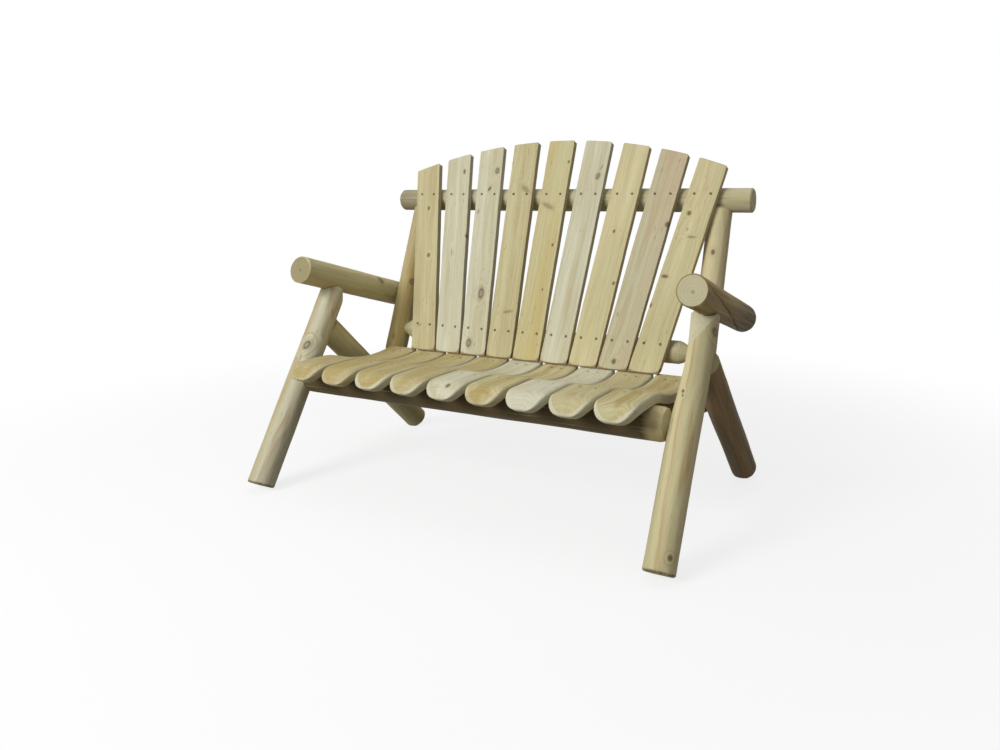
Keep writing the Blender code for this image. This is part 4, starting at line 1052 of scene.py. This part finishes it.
class BENCH_OT_seat_boards(bpy.types.Operator):
    """Make the nine seat boards: one round-edged section carried over the nose, the crest and the dish"""

    bl_idname = "bench.seat_boards"
    bl_label = "Seat boards"

    def execute(self, context):
        boards = context.scene.bench_boards
        for index in range(boards.count):
            self.make_board(context, boards, index)
        return {"FINISHED"}

    def eased_heading(self, fine, breaks, headings):
        """Heading along the board, averaged over 24 mm so that one curve runs softly into the next."""
        heading = np.interp(fine, breaks, headings)
        reach = int(0.012 / (fine[1] - fine[0]))
        padded = np.pad(heading, reach, mode="edge")
        return np.convolve(padded, np.full(2 * reach + 1, 1 / (2 * reach + 1)), mode="valid")

    def make_board(self, context, boards, index):
        """One board as rows from its tip to its rear, each a loop over the underside and the face."""
        half, thick = boards.seat_width / 2, boards.seat_thickness
        breaks, headings, crest_at, rear_at = seat_path()
        fine = np.linspace(0, breaks[-1], 6001)
        heading = self.eased_heading(fine, breaks, headings)
        middle = (heading[1:] + heading[:-1]) / 2
        y = np.concatenate([[0], np.cumsum(np.cos(middle)) * fine[1]])
        z = np.concatenate([[0], np.cumsum(np.sin(middle)) * fine[1]])
        rail = box_middle("front_seat_rail")
        y += rail.y - np.interp(crest_at, fine, y)
        z += rail.z + context.scene.bench_logs.front_rail_radius + FIT - np.interp(crest_at, fine, z)

        front_screw, rear_screw = boards.seat_width * FRONT_SCREW_SHARE, boards.seat_width * REAR_SCREW_SHARE
        screws = [(sign * screw, at) for screw, at in ((front_screw, crest_at), (rear_screw, rear_at))
                  for sign in (-1, 1)]
        across = across_places(half, boards.seat_edge, [front_screw, rear_screw])
        under = edge_drop(across, half, SEAT_UNDER_EDGE)
        under = np.where(np.abs(across) > half - HAIR, thick / 2, under)
        loop_across = looped(across, across)
        loop_up = looped(under, thick - edge_drop(across, half, boards.seat_edge))

        inset, rise = end_rounding(7)
        plain = np.concatenate([np.linspace(0.006, breaks[2], 18),
                                np.linspace(breaks[2], breaks[-1] - 0.004, 60)])
        rows = thinned(np.round(np.concatenate([plain, crest_at + NEAR_SCREW, rear_at + NEAR_SCREW]), 6))
        along = np.concatenate([SEAT_TIP_ROUND * rise, rows, breaks[-1] - SEAT_REAR_ROUND * rise[::-1]])
        shrink = np.concatenate([SEAT_TIP_ROUND * inset, 0 * rows, SEAT_REAR_ROUND * inset[::-1]])[:, None]

        # In plan the tip is cut round like a tongue
        corner = boards.tongue_round
        short = corner - np.clip(along, 0, corner)
        plan = half - corner + np.sqrt(np.maximum(corner ** 2 - short ** 2, 0))
        waver = 0.0004 + wave(along[:, None], 500 + index, (0.21, 0.09), (0.00024, 0.00014))
        a = wavered(loop_across * ((plan[:, None] - shrink) / half), half, waver)
        u = thick / 2 + (loop_up - thick / 2) * (1 - shrink / (thick / 2))
        worn = 0.0004 * (1 + np.sin(along * 40 + index * 2.1))[:, None] / 2
        sunk = dimples(a, along[:, None], screws) + worn * (1 - np.abs(a / half) ** 4)
        u = np.where(u > thick / 2, u - sunk, u)
        out = np.hypot(np.maximum(np.abs(loop_across) - half + corner, 0), short[:, None])

        head = np.interp(along, fine, heading)[:, None]
        x_middle = (index - (boards.count - 1) / 2) * boards.seat_pitch
        points = np.stack([a + x_middle, np.interp(along, fine, y)[:, None] - u * np.sin(head),
                           np.interp(along, fine, z)[:, None] + u * np.cos(head)], axis=-1)
        place = Matrix.Translation((x_middle, 0, rail.z)) @ Matrix.Rotation(-pi / 2, 4, "X")
        name = f"seat_slat_{index + 1}"
        woods, pith, spacing, late, paler, knots = SEAT_LOOKS[index]
        # The cream rim along the edges and round the tongue is partly paler worn wood and partly a painted
        # highlight
        surface = cedar(f"shaped_cedar_{name}", place, 40.0 + index, woods, pith, spacing, knots, late,
                        edge=("cream", paler, paler, 0.0062))
        # The loop runs with the face downwards and the rows go back, so every face is turned over once
        faces = [part[:, ::-1] for part in board_faces(len(along), len(across))]
        put_mesh(name + "_cedar", points.reshape(-1, 3), faces, [name], surface, corner - out)


def screw_points(columns, screws):
    """One countersunk screw along +Z as rings of (distance, radius, cross).

    Where cross is 1 only every fourth point is sunk, which makes the cross recess.
    """
    head, shank, length = screws.head_radius, screws.shank_radius, screws.length
    rings = [(RECESS, 0.0006, 0), (0.0013, 0.0014, 1), (0.0010, 0.0023, 1), (0.0, 0.0025, 0),
             (0.0, head - 0.0003, 0), (0.0003, head, 0), (0.0028, shank, 0), (length - 0.0050, shank, 0)]
    turn = np.linspace(0, 2 * pi, columns, endpoint=False)
    arm = (np.arange(columns) % 4 == 0).astype(float)
    depth = np.stack([z * (arm if cross else np.ones(columns)) for z, _, cross in rings])
    radius = np.array([radius for _, radius, _ in rings])[:, None]
    body = np.stack([radius * np.cos(turn), radius * np.sin(turn), depth], axis=-1)
    return body, np.array([[0, 0, RECESS], [0, 0, length]])


class BENCH_OT_screws(bpy.types.Operator):
    """Make the four rows of deck screws that hold the back boards and the seat boards"""

    bl_idname = "bench.screws"
    bl_label = "Screws"

    def execute(self, context):
        boards, logs = context.scene.bench_boards, context.scene.bench_logs
        sink = context.scene.bench_screws.sink
        rows = []
        for where, up in (("upper", UPPER_RAIL_UP), ("lower", LOWER_SCREWS_UP)):
            pitch = boards.low_pitch + (boards.high_pitch - boards.low_pitch) * up / UPPER_RAIL_UP
            rows.append(("back_slat", where, on_back(0, up, sink), fall(boards.back_lean), pitch,
                         boards.back_width * BACK_SCREW_SHARE))
        for where, radius, rise, share in (("front", logs.front_rail_radius, 0.0, FRONT_SCREW_SHARE),
                                           ("rear", logs.rear_rail_radius, SEAT_RISE, REAR_SCREW_SHARE)):
            down = Vector((0, sin(rise), -cos(rise)))
            start = box_middle(f"{where}_seat_rail") - down * (radius + FIT + boards.seat_thickness - sink)
            start.x = 0
            rows.append(("seat_slat", where, start, down, boards.seat_pitch, boards.seat_width * share))
        surface = plated_steel("coated_steel_deck_screw", "screw", 0.42)
        for row in rows:
            self.make_row(context, surface, *row)
        return {"FINISHED"}

    def make_row(self, context, surface, family, where, start, down, pitch, spread):
        """Two screws for each board, from a start at the middle board, each turned by a chance angle."""
        count, columns = context.scene.bench_boards.count, SCREW_COLUMNS
        name = f"{family}_{where}"
        body, poles = screw_points(columns, context.scene.bench_screws)
        per = body.shape[0] * columns
        local = np.concatenate([body.reshape(-1, 3), poles])
        x = np.array([(index - (count - 1) / 2) * pitch + sign * spread
                      for index in range(count) for sign in (-1, 1)])
        spin = np.random.default_rng(len(name)).uniform(0, pi / 2, len(x))
        c, s = np.cos(spin)[:, None], np.sin(spin)[:, None]
        twisted = np.stack([local[:, 0] * c - local[:, 1] * s, local[:, 0] * s + local[:, 1] * c,
                            np.tile(local[:, 2], (len(x), 1))], axis=-1)
        points = twisted @ np.array(side_frame(start, down).to_3x3()).T + np.array(start)
        points[..., 0] += x[:, None]
        tips = np.concatenate([fan_faces(np.arange(columns), per, False),
                               fan_faces(np.arange(per - columns, per), per + 1, True)])
        offsets = (np.arange(len(x)) * len(local))[:, None, None]
        faces = [(grid_faces(body.shape[0], columns)[None] + offsets).reshape(-1, 4),
                 (tips[None] + offsets).reshape(-1, 3)]
        nodes = [f"{family}_{board}_{where}_screw_{side}" for board in (1, count) for side in SIDES]
        put_mesh(f"{name}_screws", points.reshape(-1, 3), faces, nodes, surface)


class BENCH_OT_hardware(bpy.types.Operator):
    """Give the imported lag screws, washers and dowel screws their zinc finish"""

    bl_idname = "bench.hardware"
    bl_label = "Lag screws and washers"

    def execute(self, context):
        surface = plated_steel("zinc_plated_steel_lag_screw", "zinc", 0.34)
        kept = [node for name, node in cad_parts.items() if "lag_" in name or "dowel" in name]
        if not kept:
            raise RuntimeError("the packed frame has no lag screws")
        for node in kept:
            node.data.materials.clear()
            node.data.materials.append(surface)
        return {"FINISHED"}


class BENCH_OT_stage(bpy.types.Operator):
    """Set the pale floor, the white surroundings, the soft lamps and the camera"""

    bl_idname = "bench.stage"
    bl_label = "Stage"

    def execute(self, context):
        stage = context.scene.bench_stage
        self.floor()
        self.surroundings(context, stage)
        self.lamp("key_lamp", (-1.4, -3.6, 2.3), (0, 0, 0.45), 1.6, stage.key)
        self.lamp("fill_lamp", (2.8, -2.2, 1.6), (0, 0, 0.45), 2.0, stage.fill)
        self.lamp("top_lamp", (-0.3, 0.3, 3.4), (0, 0, 0.3), 2.4, stage.top)
        self.camera(context, stage)
        context.scene.view_settings.view_transform = "Standard"
        return {"FINISHED"}

    def floor(self):
        """A round floor: rings of points out to nine metres, level everywhere."""
        columns = 96
        turn = np.linspace(0, 2 * pi, columns, endpoint=False)
        radii = np.array([9.0, 5.0, 3.0, 1.6, 0.8, 0.3])[:, None]
        level = np.full((len(radii), columns), FLOOR_LEVEL)
        flat = np.stack([radii * np.cos(turn), radii * np.sin(turn), level], axis=-1)
        points = np.concatenate([flat.reshape(-1, 3), [[0, 0, FLOOR_LEVEL]]])
        count = len(radii) * columns
        faces = [grid_faces(len(radii), columns), fan_faces(np.arange(count - columns, count), count, True)]
        mesh = bpy.data.meshes.new("studio_floor")
        mesh.from_pydata(points.tolist(), [], [face.tolist() for part in faces for face in part])
        mesh.update()
        mesh.materials.append(self.floor_paint())
        made = bpy.data.objects.new("studio_floor", mesh)
        bpy.context.scene.collection.objects.link(made)

    def looked_at(self, tree):
        """Share that is 1 where the camera, metal or glass looks, and 0 for all other light."""
        path = add(tree, "LightPath", out=None)
        seen = add(tree, "Math", {0: path.outputs["Is Camera Ray"], 1: path.outputs["Is Glossy Ray"]})
        return add(tree, "Math", {0: seen, 1: path.outputs["Is Transmission Ray"]}, use_clamp=True)

    def floor_paint(self):
        """Matt white paint near the bench that turns into plain white light further out.

        Bounced light meets a mid grey instead, so the undersides stay as dark as on a grey studio floor.
        """
        made = bpy.data.materials.new("rolled_matt_white_floor_paint")
        made.use_nodes = True
        tree = made.node_tree
        tree.nodes.clear()
        out = add(tree, "OutputMaterial", out=None)
        where = add(tree, "TexCoord", out="Object")
        grain = add(tree, "TexNoise", {"Vector": where, "Scale": 60.0, "Detail": 3.0})
        paint = add(tree, "MapRange", {"Value": grain, 3: 0.90, 4: 0.93})
        far = add(tree, "VectorMath", {0: where}, "Value", operation="LENGTH")
        edge = add(tree, "MapRange", {"Value": far, 1: 0.9, 2: 2.4}, interpolation_type="SMOOTHSTEP")
        pale = add(tree, "BsdfDiffuse", {"Color": paint})
        white = add(tree, "Emission", {"Color": (1, 1, 1, 1), "Strength": 1.0})
        near = add(tree, "MapRange", {"Value": edge, 3: 0.80, 4: 1.0})
        shown = add(tree, "MixShader", {0: near, 1: pale, 2: white})
        dull = add(tree, "BsdfDiffuse", {"Color": (0.25, 0.22, 0.18, 1)})
        both = add(tree, "MixShader", {0: self.looked_at(tree), 1: dull, 2: shown})
        tree.links.new(both, out.inputs["Surface"])
        return made

    def surroundings(self, context, stage):
        """White where the camera, metal or glass sees it, and a soft even light for everything else."""
        world = bpy.data.worlds.new("white_studio")
        context.scene.world = world
        world.use_nodes = True
        tree = world.node_tree
        tree.nodes.clear()
        out = add(tree, "OutputWorld", out=None)
        soft = add(tree, "Background", {"Color": (1, 1, 1, 1), "Strength": stage.ambient})
        white = add(tree, "Background", {"Color": (1, 1, 1, 1), "Strength": 1.0})
        both = add(tree, "MixShader", {0: self.looked_at(tree), 1: soft, 2: white})
        tree.links.new(both, out.inputs["Surface"])

    def lamp(self, name, place, target, size, strength):
        """A square soft lamp that looks at a point."""
        data = bpy.data.lights.new(name, "AREA")
        data.size = size
        data.energy = strength
        made = bpy.data.objects.new(name, data)
        made.location = place
        made.rotation_euler = (Vector(target) - Vector(place)).to_track_quat("-Z", "Y").to_euler()
        bpy.context.scene.collection.objects.link(made)

    def camera(self, context, stage):
        """A camera turned left and tipped down, its frame shifted as the photograph's crop is."""
        data = bpy.data.cameras.new("camera")
        data.lens = stage.lens
        data.sensor_width = 36
        data.shift_x = -0.07814
        data.shift_y = -0.08842
        data.clip_start = 0.05
        made = bpy.data.objects.new("camera", data)
        made.location = stage.camera_place
        made.rotation_euler = Euler((pi / 2 - stage.camera_pitch, 0, stage.camera_yaw))
        context.scene.collection.objects.link(made)
        context.scene.camera = made


OPERATORS = (BENCH_OT_legs, BENCH_OT_arms, BENCH_OT_posts, BENCH_OT_rails, BENCH_OT_back_boards,
             BENCH_OT_seat_boards, BENCH_OT_screws, BENCH_OT_hardware, BENCH_OT_stage)
GROUPS = (("bench_logs", BenchLogs), ("bench_boards", BenchBoards), ("bench_screws", BenchScrews),
          ("bench_finish", BenchFinish), ("bench_stage", BenchStage))


class BENCH_PT_panel(bpy.types.Panel):
    """Lists the pieces of the bench"""

    bl_idname = "BENCH_PT_panel"
    bl_label = "Log loveseat"
    bl_space_type = "VIEW_3D"
    bl_region_type = "UI"
    bl_category = "Bench"

    def draw(self, context):
        for operator in OPERATORS:
            self.layout.operator(operator.bl_idname)
        for name, group in GROUPS:
            box = self.layout.box()
            for setting in group.__annotations__:
                box.prop(getattr(context.scene, name), setting)


def register():
    for name, group in GROUPS:
        bpy.utils.register_class(group)
        setattr(bpy.types.Scene, name, PointerProperty(type=group))
    for thing in (*OPERATORS, BENCH_PT_panel):
        bpy.utils.register_class(thing)


def unregister():
    for thing in (*OPERATORS, BENCH_PT_panel):
        bpy.utils.unregister_class(thing)
    for name, group in GROUPS:
        delattr(bpy.types.Scene, name)
        bpy.utils.unregister_class(group)


def main():
    register()
    bpy.ops.bench.legs()
    bpy.ops.bench.arms()
    bpy.ops.bench.posts()
    bpy.ops.bench.rails()
    bpy.ops.bench.back_boards()
    bpy.ops.bench.seat_boards()
    bpy.ops.bench.screws()
    bpy.ops.bench.hardware()
    bpy.ops.bench.stage()
    bpy.context.view_layer.update()


if __name__ == "__main__":
    main()
